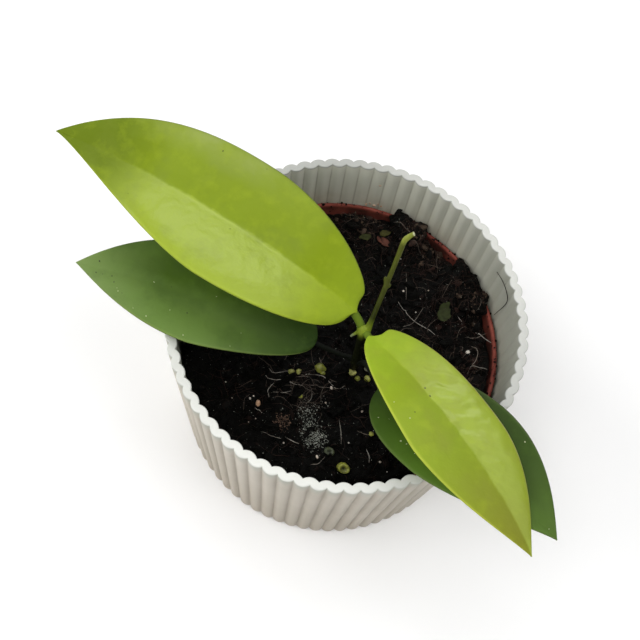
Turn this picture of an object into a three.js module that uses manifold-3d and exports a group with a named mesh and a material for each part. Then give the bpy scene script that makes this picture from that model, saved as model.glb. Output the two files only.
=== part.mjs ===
// A potted hoya: a fluted white cover pot, a red-brown nursery pot standing in it, soil, one short stem
// with a cut leader, and two pairs of leaves. Millimetres, +Z up. The origin is the centre of the cover
// pot's underside, and the side that is usually seen from is -Y.
import * as THREE from 'three';
import { mergeVertices } from 'three/addons/utils/BufferGeometryUtils.js';
import Module from 'manifold-3d';

const wasm = await Module();
wasm.setup();

// Driving dimensions of the cover pot
const potRadius = 55;
const potHeight = 75;
const potBaseShare = 0.945;
const potFloor = 3;
const potFootBevel = 1.6;
const fluteCount = 72;
const fluteTurn = THREE.MathUtils.degToRad(0.125);
const outerGrooveDepth = 0.68;
const innerGrooveRadius = 52.67;
const innerGrooveDepth = 0.97;
const stepsPerFlute = 4;

// Driving dimensions of the nursery pot. The lip and the collar are given in section, as distances in
// from the rim's radius and down from its top.
const seatGap = 0.3;
const nurseryRimTop = 54.4;
const nurseryRimRadius = 50.5;
const nurseryLipSection = [[0.7, 8.2], [0, 1.2], [0.5, 0.3], [1.2, 0], [2.4, 0.5]];
const nurseryLip = 2.4;
const nurseryCollar = 9;
const nurseryBend = 0.5;
const nurseryShoulder = 47.4;
const nurseryBaseRadius = 38;
const nurseryWall = 1.1;
const nurseryFoot = 1.5;
const nurserySides = 48;
const drainRing = 26;
const drainRadius = 3.5;
const drainCount = 6;
const drainSides = 12;

// Driving dimensions of the soil. Its top is a sum of waves, the longest soilWaveLength long.
const soilLevel = 52.6;
const soilRings = 12;
const soilFirstRing = 0.35;
const soilSpokes = 48;
const soilMargin = 2.6;
const soilGap = 0.45;
const soilRoomGap = 1.2;
const soilWaves = 7;
const soilWaveLength = 37;
const soilWaveHeight = 1.1;
const soilWaveTurn = 2.4;
const soilWaveShift = 1.7;

// Driving dimensions of the stem
const stemRadius = 1.4;
const stemFoot = [6.4, -7.2, 38];
const lowerNode = [6.1, -8.4, 60];
const lowerNodeRadius = 2;
const upperNode = [5.2, -10, 86];
const upperNodeRadius = 2.1;
const nodeStretch = [1, 1, 1.12];
const leaderRadius = 0.95;
const leaderTipRadius = 0.8;
const leaderFootRadius = 1.25;
const leaderKneeRadius = 1.06;
const leaderFoot = [6.3, -9.7, 86.5];
const leaderMiddle = [7.7, -2.6, 102.5];
const leaderKnee = [8.7, 3.5, 117];
const leaderTip = [10.7, 5.3, 119];
const leaderBuds = [[6.8, -1.4, 104.5], [8.6, -2.4, 102.5]];
const leaderBudRadius = 0.6;
const rootNub = [[4.2, -10.4, 85.8], [3.1, -11.2, 85.3], [2.1, -12, 84.5]];
const rootNubRadius = 0.6;
const sleepingBud = [6.8, -10.2, 75.6];
const sleepingBudRadius = 0.95;
const sleepingBudStretch = [1, 1, 1.3];

// Driving dimensions of the blades. A blade is drawn over stations along its midrib and over columns
// from its right edge to its left one.
const leafThickness = 1.5;
const leafEdge = 0.9;
const leafTipThickness = 0.65;
const leafTipSwell = 0.25;
const leafPuff = 0.09;
const leafNarrowest = 0.35;
const leafStations = 26;
const leafColumns = [-1, -0.82, -0.55, -0.27, 0, 0.27, 0.55, 0.82, 1];
const midribSteps = 240;

// The petiole runs under the blade from its neck: how far along the midrib, and how deep below it
const petioleNeck = [0.8, 0.4];
const petioleEnd = [7, 0.7];

// Each leaf by its base, its heading and its pitch in degrees, and its length and half widths. A side's
// profile is [where it is widest, roundness of the base, fullness towards the tip, sharpness of the tip].
const leaves = [
  {
    name: 'lime_leaf_left', colour: 0xa9bd45, base: [2.2, -6.5, 89],
    heading: 165.8, sweep: 9.5, pitch: 16, droop: 17.8, length: 100,
    left: { width: 20.8, profile: [0.44, 1.92, 1.6, 1.14] },
    right: { width: 19.3, profile: [0.4, 1.66, 2.75, 0.95] },
    fold: 17.3, roll: -6.6, twist: -0.8, petiole: 1.4, root: [upperNode, [3.6, -8.4, 87.8]],
  },
  {
    name: 'lime_leaf_right', colour: 0xaec23f, base: [7.2, -11.9, 88],
    heading: -40.2, sweep: -19.7, pitch: 6.8, droop: 17.5, length: 73,
    left: { width: 12.1, profile: [0.56, 3.3, 1.86, 1.15] },
    right: { width: 15.1, profile: [0.46, 1.3, 1.91, 1.1] },
    fold: 8, roll: -9, twist: -3.1, petiole: 1.3, root: [upperNode, [6.4, -11.1, 87.1]],
  },
  {
    name: 'green_leaf_left', colour: 0x4c7a3a, base: [-7.2, -10, 69],
    heading: 180.6, sweep: 2.2, pitch: 17.1, droop: 17.8, length: 74.8,
    left: { width: 15.2, profile: [0.4, 0.97, 2.49, 1.13] },
    right: { width: 16.5, profile: [0.45, 2.1, 2.42, 1] },
    fold: 8.8, roll: -1.8, twist: -3.2, petiole: 1.3, root: [lowerNode, [-0.6, -9.5, 64.2]],
  },
  {
    name: 'green_leaf_right', colour: 0x47753a, base: [14.9, -18.7, 69.1],
    heading: -32, sweep: -5.7, pitch: 19.7, droop: 12, length: 65.4,
    left: { width: 18, profile: [0.45, 2.1, 2.15, 1.04] },
    right: { width: 15.4, profile: [0.39, 2.42, 1.64, 1.14] },
    fold: 10.3, roll: -2.1, twist: 1.4, petiole: 1.3, root: [lowerNode, [9.6, -11.4, 65.6]],
  },
];

// Heaps and hollows of the soil: x, y, height and spread
const heaps = [
  [36, 29, 3.4, 9],
  [13, 42, 3, 7],
  [3, -34, 1.4, 6],
  [-34, -26, 1.6, 10],
  [-24, 34, -1.2, 10],
  [17, 8, -2.6, 9],
  [-12, -4, -1.6, 10],
];

// Where the soil has spilled over the nursery pot's rim against the cover pot: from and to, in degrees,
// and how high its clods lie above the rim
const spills = [
  [69, 78, 0.9],
  [27, 52, 0.7],
  [190, 278, -0.3],
];
const clodStep = 8;
const clodRing = 46.2;
const clodRingSpread = 0.7;
const clodRise = 0.4;
const clodRadius = 5;
const clodRadiusSpread = 0.5;
const clodLump = 0.12;
const clodFlatness = 0.62;

// Spent fertiliser shells: x, y and radius. They lie in the soil by shellHeight of their radius.
const shells = [
  [-13.1, -16.2, 1.3], [-10.2, -15, 1.1], [-4, -12.4, 1.9], [7.1, -11.6, 1.3],
  [9.1, -13.1, 1], [11.2, -12.8, 1.1], [10.9, -41.2, 2], [5.7, -38.2, 1.6],
  [-7, -23, 1.1], [18.6, -27.5, 1.1],
];
const shellHeight = 0.45;

const ballSides = 8;
const ballRings = 6;
const pointTolerance = 1e-4;

const deg = THREE.MathUtils.degToRad;
const vec = (p) => new THREE.Vector3(...p);

// Shared ways of making solids
function toSolid(geometry) {
  const bare = geometry.index ? geometry.toNonIndexed() : geometry.clone();
  bare.deleteAttribute('normal');
  bare.deleteAttribute('uv');
  const merged = mergeVertices(bare, pointTolerance);
  return new wasm.Manifold(new wasm.Mesh({
    numProp: 3,
    vertProperties: new Float32Array(merged.attributes.position.array),
    triVerts: new Uint32Array(merged.index.array),
  }));
}

function toGeometry(solid) {
  const mesh = solid.getMesh();
  const geometry = new THREE.BufferGeometry();
  geometry.setAttribute('position', new THREE.Float32BufferAttribute(mesh.vertProperties, 3));
  geometry.setIndex(new THREE.Uint32BufferAttribute(mesh.triVerts, 1));
  geometry.computeVertexNormals();
  return geometry;
}

// Joining clods can seal a pocket or leave a crumb: only the largest closed skin is kept.
function wholeBody(solid) {
  return solid.decompose().reduce((best, piece) => (piece.volume() > best.volume() ? piece : best));
}

// A closed skin over rings of points that run anticlockwise seen from above, from the first ring's
// centre to the last ring's centre.
function skin(rings, firstCentre, lastCentre) {
  const count = rings[0].length;
  const points = [firstCentre, ...rings.flat(), lastCentre];
  const at = (ring, i) => 1 + ring * count + (i % count);
  const faces = [];
  for (let i = 0; i < count; i += 1) {
    faces.push(0, at(0, i + 1), at(0, i));
    for (let ring = 0; ring + 1 < rings.length; ring += 1) {
      faces.push(at(ring, i), at(ring, i + 1), at(ring + 1, i + 1));
      faces.push(at(ring, i), at(ring + 1, i + 1), at(ring + 1, i));
    }
    faces.push(points.length - 1, at(rings.length - 1, i), at(rings.length - 1, i + 1));
  }
  const geometry = new THREE.BufferGeometry();
  geometry.setAttribute('position', new THREE.Float32BufferAttribute(points.flat(), 3));
  geometry.setIndex(faces);
  geometry.computeVertexNormals();
  return geometry;
}

function revolved(profile) {
  const lathe = new THREE.LatheGeometry(profile.map((p) => new THREE.Vector2(...p)), nurserySides);
  lathe.rotateX(Math.PI / 2);
  return toSolid(lathe);
}

function tube(points, radius, sides, steps) {
  const section = new THREE.Shape();
  for (let i = 0; i < sides; i += 1) {
    const turn = (i / sides) * 2 * Math.PI;
    const corner = [radius * Math.cos(turn), radius * Math.sin(turn)];
    if (i === 0) section.moveTo(...corner);
    else section.lineTo(...corner);
  }
  section.closePath();
  const path = new THREE.CatmullRomCurve3(points.map(vec));
  return toSolid(new THREE.ExtrudeGeometry(section, { steps, extrudePath: path }));
}

function ball(centre, radius, stretch = [1, 1, 1]) {
  const geometry = new THREE.SphereGeometry(radius, ballSides, ballRings);
  geometry.scale(...stretch);
  geometry.translate(...centre);
  return toSolid(geometry);
}

// Cover pot. A flute is a shallow arc between two grooves, and the inner flutes stand half a step
// round from the outer ones.
function fluteRise(phase, pitch, depth) {
  const half = pitch / 2;
  const arc = (half * half + depth * depth) / (2 * depth);
  return Math.sqrt(arc * arc - (phase * pitch) ** 2) - (arc - depth);
}

function potRing(share, z, inside, inset) {
  const ring = [];
  const pitch = (2 * Math.PI * potRadius) / fluteCount;
  const count = fluteCount * stepsPerFlute;
  for (let i = 0; i < count; i += 1) {
    const turn = fluteTurn + (i / count) * 2 * Math.PI;
    const step = (i % stepsPerFlute) / stepsPerFlute;
    const outerPhase = step > 0.5 ? step - 1 : step;
    const innerPhase = step - 0.5;
    const outer = potRadius - outerGrooveDepth + fluteRise(outerPhase, pitch, outerGrooveDepth);
    const inner = innerGrooveRadius - fluteRise(innerPhase, pitch, innerGrooveDepth);
    const radius = (inside ? inner : outer) * share - inset;
    ring.push([radius * Math.cos(turn), radius * Math.sin(turn), z]);
  }
  return ring;
}

function coverPot() {
  const shareAt = (z) => potBaseShare + (1 - potBaseShare) * (z / potHeight);
  const rings = [
    potRing(shareAt(0), 0, false, potFootBevel),
    potRing(shareAt(potFootBevel), potFootBevel, false, 0),
    potRing(1, potHeight, false, 0),
    potRing(1, potHeight, true, 0),
    potRing(shareAt(potFloor), potFloor, true, 0),
  ];
  return skin(rings, [0, 0, 0], [0, 0, potFloor]);
}

// Nursery pot: a tapered wall with a collar under a thicker lip, and holes in its floor
function nurseryPot() {
  const base = potFloor + seatGap;
  const collarFoot = nurseryRimTop - nurseryCollar;
  let pot = revolved([
    [0, base],
    [nurseryBaseRadius, base],
    [nurseryShoulder, collarFoot],
    ...nurseryLipSection.map(([inward, down]) => [nurseryRimRadius - inward, nurseryRimTop - down]),
    [nurseryShoulder - nurseryWall, collarFoot - nurseryBend],
    [nurseryBaseRadius - nurseryWall, base + nurseryFoot],
    [0, base + nurseryFoot],
  ]);
  for (let i = 0; i < drainCount; i += 1) {
    const turn = (i / drainCount) * 2 * Math.PI;
    const drill = new THREE.CylinderGeometry(drainRadius, drainRadius, nurseryFoot * 4, drainSides);
    drill.rotateX(Math.PI / 2);
    drill.translate(drainRing * Math.cos(turn), drainRing * Math.sin(turn), base);
    pot = pot.subtract(toSolid(drill));
  }
  return pot;
}

// Soil: a body that fills the nursery pot, with an uneven top, and clods over the rim
function soilHeight(x, y) {
  let height = soilLevel;
  for (let k = 1; k <= soilWaves; k += 1) {
    const turn = k * soilWaveTurn;
    const across = x * Math.cos(turn) + y * Math.sin(turn);
    const phase = (2 * Math.PI * k * across) / soilWaveLength + k * soilWaveShift;
    height += (soilWaveHeight / k) * Math.sin(phase);
  }
  for (const [hx, hy, rise, spread] of heaps) {
    height += rise * Math.exp(-((x - hx) ** 2 + (y - hy) ** 2) / (2 * spread * spread));
  }
  return height;
}

// A clod is a flattened ball with lumps. Its number shifts its size, its lumps and its place a little.
function clod(turn, lift, number) {
  const radius = clodRadius + clodRadiusSpread * Math.sin(number * 3.1);
  const geometry = new THREE.IcosahedronGeometry(radius, 1);
  const place = geometry.attributes.position;
  const point = new THREE.Vector3();
  for (let i = 0; i < place.count; i += 1) {
    point.fromBufferAttribute(place, i);
    const lump = 1 + clodLump * Math.sin(point.x * 0.9 + number * 2.1)
      + clodLump * Math.sin(point.y * 1.1 - number * 1.3) * Math.cos(point.z);
    place.setXYZ(i, point.x * lump, point.y * lump, point.z * lump * clodFlatness);
  }
  const ring = clodRing + clodRingSpread * Math.sin(number * 2.3);
  const height = nurseryRimTop + lift + clodRise * Math.sin(number * 1.7);
  geometry.translate(ring * Math.cos(turn), ring * Math.sin(turn), height);
  return toSolid(geometry);
}

function pottingSoil(stemKeepOut) {
  const base = potFloor + seatGap + nurseryFoot + seatGap;
  const bend = nurseryRimTop - nurseryCollar - nurseryBend;
  const wallTop = soilLevel - soilMargin;
  const bendRadius = nurseryShoulder - nurseryWall - soilGap;
  const lipRadius = nurseryRimRadius - nurseryLip - soilGap;
  const footRadius = nurseryBaseRadius - nurseryWall - soilGap;
  const rise = (wallTop - bend) / (nurseryCollar - nurseryBend);
  const topRadius = bendRadius + (lipRadius - bendRadius) * rise;
  const ringAt = (radius, heightAt) => {
    const ring = [];
    for (let i = 0; i < soilSpokes; i += 1) {
      const turn = (i / soilSpokes) * 2 * Math.PI;
      const x = radius * Math.cos(turn);
      const y = radius * Math.sin(turn);
      ring.push([x, y, heightAt(x, y)]);
    }
    return ring;
  };
  const rings = [
    ringAt(footRadius, () => base),
    ringAt(bendRadius, () => bend),
    ringAt(topRadius, () => wallTop),
  ];
  for (let k = 0; k < soilRings; k += 1) {
    const share = 1 - (k + soilFirstRing) / (soilRings + soilFirstRing);
    rings.push(ringAt(topRadius * share, soilHeight));
  }
  let soil = toSolid(skin(rings, [0, 0, base], [0, 0, soilHeight(0, 0)]));

  // Clods stay above the nursery pot's rim and inside the cover pot.
  const rimGuard = revolved([
    [topRadius, 0],
    [potRadius, 0],
    [potRadius, nurseryRimTop + seatGap],
    [topRadius, nurseryRimTop + seatGap],
    [topRadius, 0],
  ]);
  const roomRadius = innerGrooveRadius - innerGrooveDepth - soilRoomGap;
  const room = revolved([[0, 0], [roomRadius, 0], [roomRadius, potHeight], [0, potHeight]]);
  let number = 0;
  for (const [from, to, lift] of spills) {
    for (let turn = from; turn <= to; turn += clodStep) {
      soil = soil.add(clod(deg(turn), lift, number).subtract(rimGuard).intersect(room));
      number += 1;
    }
  }
  for (const [x, y, radius] of shells) {
    soil = soil.add(ball([x, y, soilHeight(x, y) + radius * shellHeight], radius));
  }
  return wholeBody(soil.subtract(stemKeepOut));
}

// Stem: a short upright stem with two swollen nodes, the cut leader with two tiny buds, and an aerial
// root nub. The same solid, grown by a gap, clears the hole in the soil and the ends of the petioles.
function stemSolid(grow) {
  const parts = [
    tube([stemFoot, lowerNode, upperNode], stemRadius + grow, 10, 8),
    ball(lowerNode, lowerNodeRadius + grow, nodeStretch),
    ball(upperNode, upperNodeRadius + grow, nodeStretch),
    tube([leaderFoot, leaderMiddle, leaderKnee], leaderRadius + grow, 8, 8),
    tube([leaderKnee, leaderTip], leaderTipRadius + grow, 8, 2),
    ball(leaderFoot, leaderFootRadius + grow),
    ball(leaderKnee, leaderKneeRadius + grow),
    tube(rootNub, rootNubRadius + grow, 6, 3),
    ball(sleepingBud, sleepingBudRadius + grow, sleepingBudStretch),
    ...leaderBuds.map((bud) => ball(bud, leaderBudRadius + grow)),
  ];
  return parts.reduce((whole, part) => whole.add(part));
}

// Leaf: a thick blade folded along its midrib, whose two halves have their own outline, and a petiole
function halfWidth(t, { width, profile }) {
  const [widest, base, tip, sharp] = profile;
  if (t < widest) return width * Math.sqrt(1 - ((widest - t) / widest) ** base);
  return width * (1 - ((t - widest) / (1 - widest)) ** tip) ** sharp;
}

function midrib(leaf, count) {
  const stations = [];
  const place = vec(leaf.base);
  let walked = 0;
  for (let i = 0; i <= count; i += 1) {
    const t = 0.5 - 0.5 * Math.cos((Math.PI * i) / count);
    while (walked + 0.5 < t * midribSteps) {
      const u = (walked + 0.5) / midribSteps;
      place.addScaledVector(direction(leaf, u), leaf.length / midribSteps);
      walked += 1;
    }
    stations.push({ t, place: place.clone(), ...frameAt(leaf, t) });
  }
  return stations;
}

function direction(leaf, t) {
  const yaw = deg(leaf.heading + leaf.sweep * (t - 0.5));
  const pitch = deg(leaf.pitch - leaf.droop * t);
  return new THREE.Vector3(
    Math.cos(pitch) * Math.cos(yaw),
    Math.cos(pitch) * Math.sin(yaw),
    Math.sin(pitch),
  );
}

function frameAt(leaf, t) {
  const along = direction(leaf, t);
  const level = new THREE.Vector3(-along.y, along.x, 0).normalize();
  const roll = deg(leaf.roll + leaf.twist * (t - 0.5));
  const up = along.clone().cross(level);
  if (up.z < 0) up.negate();
  const across = level.clone().multiplyScalar(Math.cos(roll)).addScaledVector(up, Math.sin(roll));
  const normal = up.clone().multiplyScalar(Math.cos(roll)).addScaledVector(level, -Math.sin(roll));
  return { along, across, normal };
}

function blade(leaf) {
  const stations = midrib(leaf, leafStations);
  const columns = leafColumns.length;
  const points = [];
  const fold = deg(leaf.fold);
  for (const face of [1, -1]) {
    for (const { t, place, across, normal } of stations) {
      for (const column of leafColumns) {
        const half = column > 0 ? leaf.left : leaf.right;
        const width = Math.max(halfWidth(t, half), leafNarrowest);
        const reach = Math.abs(column);
        const puff = leafPuff * width * Math.sin(Math.PI * reach);
        const full = leafEdge + (leafThickness - leafEdge) * (1 - reach);
        const thick = Math.min(full, leafTipThickness + leafTipSwell * width);
        const out = width * column * Math.cos(fold);
        const rise = width * reach * Math.sin(fold) + puff + (face * thick) / 2;
        const point = place.clone().addScaledVector(across, out).addScaledVector(normal, rise);
        points.push(point.x, point.y, point.z);
      }
    }
  }
  const at = (face, i, j) => face * stations.length * columns + i * columns + j;
  const faces = [];
  const quad = (a, b, c, d) => faces.push(a, b, c, a, c, d);
  for (let i = 0; i + 1 < stations.length; i += 1) {
    for (let j = 0; j + 1 < columns; j += 1) {
      quad(at(0, i, j), at(0, i + 1, j), at(0, i + 1, j + 1), at(0, i, j + 1));
      faces.push(at(1, i, j), at(1, i + 1, j + 1), at(1, i + 1, j));
      faces.push(at(1, i, j), at(1, i, j + 1), at(1, i + 1, j + 1));
    }
    quad(at(0, i, 0), at(1, i, 0), at(1, i + 1, 0), at(0, i + 1, 0));
    quad(at(0, i, columns - 1), at(0, i + 1, columns - 1), at(1, i + 1, columns - 1), at(1, i, columns - 1));
  }
  const last = stations.length - 1;
  for (let j = 0; j + 1 < columns; j += 1) {
    quad(at(0, 0, j), at(0, 0, j + 1), at(1, 0, j + 1), at(1, 0, j));
    quad(at(0, last, j + 1), at(0, last, j), at(1, last, j), at(1, last, j + 1));
  }
  const geometry = new THREE.BufferGeometry();
  geometry.setAttribute('position', new THREE.Float32BufferAttribute(points, 3));
  geometry.setIndex(faces);
  return toSolid(geometry);
}

function leafSolid(leaf, stemKeepOut) {
  const { along, normal } = frameAt(leaf, 0);
  const below = ([reach, depth]) => (
    vec(leaf.base).addScaledVector(along, reach).addScaledVector(normal, -depth).toArray()
  );
  const route = [...leaf.root, below(petioleNeck), below(petioleEnd)];
  return blade(leaf).add(tube(route, leaf.petiole, 8, 8)).subtract(stemKeepOut);
}

// The whole plant in its pots
const plant = new THREE.Group();

function addPiece(name, geometry, colour, roughness, metalness = 0) {
  const material = new THREE.MeshStandardMaterial({ color: colour, roughness, metalness });
  const mesh = new THREE.Mesh(geometry, material);
  mesh.name = name;
  plant.add(mesh);
}

const stemKeepOut = stemSolid(seatGap);
addPiece('cover_pot', coverPot(), 0xeeece4, 0.5);
addPiece('nursery_pot', toGeometry(nurseryPot()), 0x82402c, 0.45);
addPiece('potting_soil', toGeometry(pottingSoil(stemKeepOut)), 0x1f1a17, 0.95);
addPiece('stem', toGeometry(stemSolid(0)), 0x6b7a2c, 0.5);
for (const leaf of leaves) {
  addPiece(leaf.name, toGeometry(leafSolid(leaf, stemKeepOut)), leaf.colour, 0.35);
}

export default plant;
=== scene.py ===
import math

import bpy
import numpy as np
from mathutils import Matrix, Vector
from mathutils.bvhtree import BVHTree


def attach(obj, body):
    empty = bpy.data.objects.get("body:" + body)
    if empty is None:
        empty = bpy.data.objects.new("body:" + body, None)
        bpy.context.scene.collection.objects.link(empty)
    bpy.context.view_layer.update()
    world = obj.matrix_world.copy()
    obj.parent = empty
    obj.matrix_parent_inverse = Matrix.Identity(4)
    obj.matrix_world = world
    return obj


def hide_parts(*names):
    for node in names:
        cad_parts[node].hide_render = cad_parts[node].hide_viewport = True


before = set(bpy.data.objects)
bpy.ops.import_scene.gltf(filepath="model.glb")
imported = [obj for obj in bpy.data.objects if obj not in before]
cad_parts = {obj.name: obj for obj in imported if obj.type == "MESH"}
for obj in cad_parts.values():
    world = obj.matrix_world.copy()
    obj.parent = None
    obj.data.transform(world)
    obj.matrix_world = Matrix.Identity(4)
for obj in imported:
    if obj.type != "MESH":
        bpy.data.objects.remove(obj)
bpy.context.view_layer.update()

# The viewpoint
# The plant is seen from the front and steeply above, from about 30 cm away, with the
# camera turned a little about its own axis.
MM = 0.001
PICTURE_SIDE = 640
CAMERA_PLACE = Vector((0, -110.25, 306.59))
CAMERA_HEADING = math.radians(4.2)
CAMERA_FALL = math.radians(65.56)
CAMERA_ROLL = math.radians(11.82)
CAMERA_LENS = 48.02
CAMERA_SENSOR = 36

looking = Vector((
    -math.sin(CAMERA_HEADING) * math.cos(CAMERA_FALL),
    math.cos(CAMERA_HEADING) * math.cos(CAMERA_FALL),
    -math.sin(CAMERA_FALL),
))
camera_turn = looking.to_track_quat("-Z", "Y").to_matrix() @ Matrix.Rotation(CAMERA_ROLL, 3, "Z")
camera = bpy.data.objects.new("camera", bpy.data.cameras.new("camera"))
camera.data.lens = CAMERA_LENS
camera.data.sensor_width = CAMERA_SENSOR
camera.data.clip_start = 0.01
camera.matrix_world = Matrix.Translation(CAMERA_PLACE * MM) @ camera_turn.to_4x4()
bpy.context.scene.collection.objects.link(camera)
bpy.context.scene.camera = camera
bpy.context.scene.view_settings.view_transform = "Standard"


def line_of_sight(across, down):
    """The direction in which the camera sees a point of the picture, given in pixels."""
    focal = CAMERA_LENS / CAMERA_SENSOR * PICTURE_SIDE
    half = PICTURE_SIDE / 2
    return (camera_turn @ Vector((across - half, half - down, -focal))).normalized()


# Cover pot
# A thin white pot of moulded plastic with upright flutes outside and inside. It was made in
# one piece in a fluted mould, stands on its flat foot, and carries the nursery pot.
POT_RADIUS = 55
POT_HEIGHT = 75
POT_BASE_SHARE = 0.945
POT_FLOOR = 3
POT_FOOT_BEVEL = 1.6
POT_LIP_ROUNDING = 0.42
POT_WALL_HEIGHTS = np.linspace(8, 68, 9)
FLUTES = 72
FLUTE_TURN = math.radians(0.125)
FLUTE_STEPS = 20
OUTER_GROOVE = 1
INNER_GROOVE_RADIUS = 52.67
INNER_GROOVE = 0.97
INNER_WAVE = 0.48
INNER_FADE = 12
# How the grooves are darkened: a thin line at each outer groove, partly dirt and partly painted shade, and
# its width; a broad painted shade in the outer hollows; the width of the painted shade lines in the inner
# grooves
OUTER_LINE_DIRT_AND_SHADE = 0.2
OUTER_LINE_WIDTH = 0.11
OUTER_SHADE = 0.56
INNER_SHADE_LINE_WIDTH = 0.08
RIM_DEPTH = 0.5
RIM_LIGHT = 0.65
# Where the rim is painted dimmer or brighter, as painted shade and light: middle and spread in degrees, and
# the change
RIM_SPOTS = [(108, 32, -0.63), (-12, 26, -0.38), (-105, 30, 0.35)]
# The side toward which the inner wall is painted lighter, as painted light
PAINTED_LIGHT_SIDE = math.radians(118)


def build_piece(name, points, faces, flat=False):
    """A mesh object from points in millimetres."""
    mesh = bpy.data.meshes.new(name)
    mesh.from_pydata((np.asarray(points, float) * MM).tolist(), [], faces)
    if not flat:
        mesh.shade_smooth()
    mesh.update()
    piece = bpy.data.objects.new(name, mesh)
    bpy.context.scene.collection.objects.link(piece)
    return piece


def settle(piece, material, slot, *nodes):
    """Gives a piece its material and its place in the frame."""
    piece.data.materials.clear()
    piece.data.materials.append(material)
    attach(piece, "root")
    if nodes:
        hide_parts(*nodes)


def circle(radius, turn, height):
    """Points at a radius, a turn and a height round the pot's axis."""
    return np.stack([radius * np.cos(turn), radius * np.sin(turn), height + 0 * turn], -1)


def closed_rings(rings, bottom, top):
    """Points and faces of a closed form through rings of points, with a middle point at either end."""
    size = len(rings[0])
    last = (len(rings) - 1) * size
    centre = last + size
    sides = [(i, (i + 1) % size) for i in range(size)]
    faces = []
    for low in range(0, last, size):
        faces += [(low + a, low + b, low + size + b, low + size + a) for a, b in sides]
    faces += [(b, a, centre) for a, b in sides]
    faces += [(last + a, last + b, centre + 1) for a, b in sides]
    return np.concatenate([*rings, [bottom], [top]]), faces


def joined(shapes):
    """The points and faces of several shapes, as those of one."""
    points = []
    faces = []
    total = 0
    for some, around in shapes:
        points.append(some)
        faces += [[total + k for k in face] for face in around]
        total += len(some)
    return np.concatenate(points), faces


def with_values(piece, **values):
    """Stores a number on each point of a piece, for its material."""
    for name, numbers in values.items():
        layer = piece.data.attributes.new(name, "FLOAT", "POINT")
        layer.data.foreach_set("value", np.asarray(numbers, np.float32))


def flute_rise(phase, pitch, depth):
    """How far the round face of a rib stands out, at a share of the pitch from the rib's middle."""
    half = pitch / 2
    arc = (half * half + depth * depth) / (2 * depth)
    return np.sqrt(arc * arc - (phase * pitch) ** 2) - (arc - depth)


def pot_share(height):
    """How wide the tapered pot is at a height, as a share of its width at the rim."""
    return POT_BASE_SHARE + (1 - POT_BASE_SHARE) * height / POT_HEIGHT


def inner_softness(height):
    """0 at the rim, where the inner ribs are round, to 1 further down, where they are soft waves."""
    return min(1, (POT_HEIGHT - height) / INNER_FADE)


def inner_depth(height):
    """How far the inner ribs stand out at a height."""
    return INNER_GROOVE + (INNER_WAVE - INNER_GROOVE) * inner_softness(height)


def pot_ring(height, inside, inset):
    """The outline of the fluted wall at a height, on its inside or its outside."""
    steps = np.arange(FLUTES * FLUTE_STEPS)
    turn = FLUTE_TURN + 2 * math.pi * steps / len(steps)
    pitch = 2 * math.pi * POT_RADIUS / FLUTES
    phase = (steps % FLUTE_STEPS) / FLUTE_STEPS
    if inside:
        soft = inner_softness(height)
        rib = (1 - soft) * flute_rise(phase - 0.5, pitch, INNER_GROOVE) / INNER_GROOVE
        rib = rib + soft * (0.5 - 0.5 * np.cos(2 * math.pi * phase))
        radius = INNER_GROOVE_RADIUS - inner_depth(height) * rib
    else:
        phase = np.where(phase > 0.5, phase - 1, phase)
        radius = POT_RADIUS - OUTER_GROOVE + flute_rise(phase, pitch, OUTER_GROOVE)
    return circle(radius * pot_share(height) - inset, turn, height)


rounding = [math.radians(a) for a in (0, 22.5, 45, 67.5, 90)]
foot = [(POT_FOOT_BEVEL * (1 - math.cos(a)), POT_FOOT_BEVEL * (1 - math.sin(a))) for a in rounding]
lip = [
    (POT_HEIGHT - POT_LIP_ROUNDING * (1 - math.sin(a)), POT_LIP_ROUNDING * (1 - math.cos(a)))
    for a in rounding
]
pot_rings = [pot_ring(height, False, inset) for height, inset in foot]
pot_rings += [pot_ring(height, False, 0) for height in POT_WALL_HEIGHTS]
pot_rings += [pot_ring(height, False, inset) for height, inset in lip]
pot_rings += [pot_ring(height, True, -inset) for height, inset in reversed(lip)]
pot_rings += [pot_ring(height, True, 0) for height in (*reversed(POT_WALL_HEIGHTS), POT_FLOOR)]
pot_points, pot_faces = closed_rings(pot_rings, (0, 0, 0), (0, 0, POT_FLOOR))
cover_pot = build_piece("cover_pot_fluted", pot_points, pot_faces)

# Darkening along the grooves: a thin outer line, partly dirt and partly painted shade, a broad painted shade
# in the outer hollows, and thin painted shade lines in the inner grooves that fade toward the lit side
from_middle = np.abs(np.arange(len(pot_points)) % FLUTE_STEPS / FLUTE_STEPS - 0.5)
outer_groove = OUTER_LINE_DIRT_AND_SHADE * np.clip(1 - from_middle / OUTER_LINE_WIDTH, 0, 1)
outer_groove += OUTER_SHADE * np.cos(math.pi * from_middle) ** 4
inner_groove = np.clip(1 - (0.5 - from_middle) / INNER_SHADE_LINE_WIDTH, 0, 1)
around = np.arctan2(pot_points[:, 1], pot_points[:, 0])
# Toward the lit side the inner wall is painted lighter and the painted groove shade fades
toward_window = np.cos(around - PAINTED_LIGHT_SIDE)
inner_groove *= np.clip(0.15 + 0.9 * toward_window, 0.08, 1)
on_outside = np.arange(len(pot_points)) < FLUTES * FLUTE_STEPS * (len(pot_rings) // 2)
below_lip = pot_points[:, 2] < POT_HEIGHT - RIM_DEPTH
sunlit = np.full(len(pot_points), RIM_LIGHT)
for middle, spread, change in RIM_SPOTS:
    sunlit += change * np.exp(-((np.degrees(around) - middle) / spread) ** 2)
with_values(
    cover_pot,
    sunlit=sunlit,
    groove=np.where(on_outside, outer_groove, inner_groove) * below_lip,
    outside=on_outside & below_lip,
    grime=np.clip(toward_window, 0, 1) * ~on_outside,
)


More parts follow.
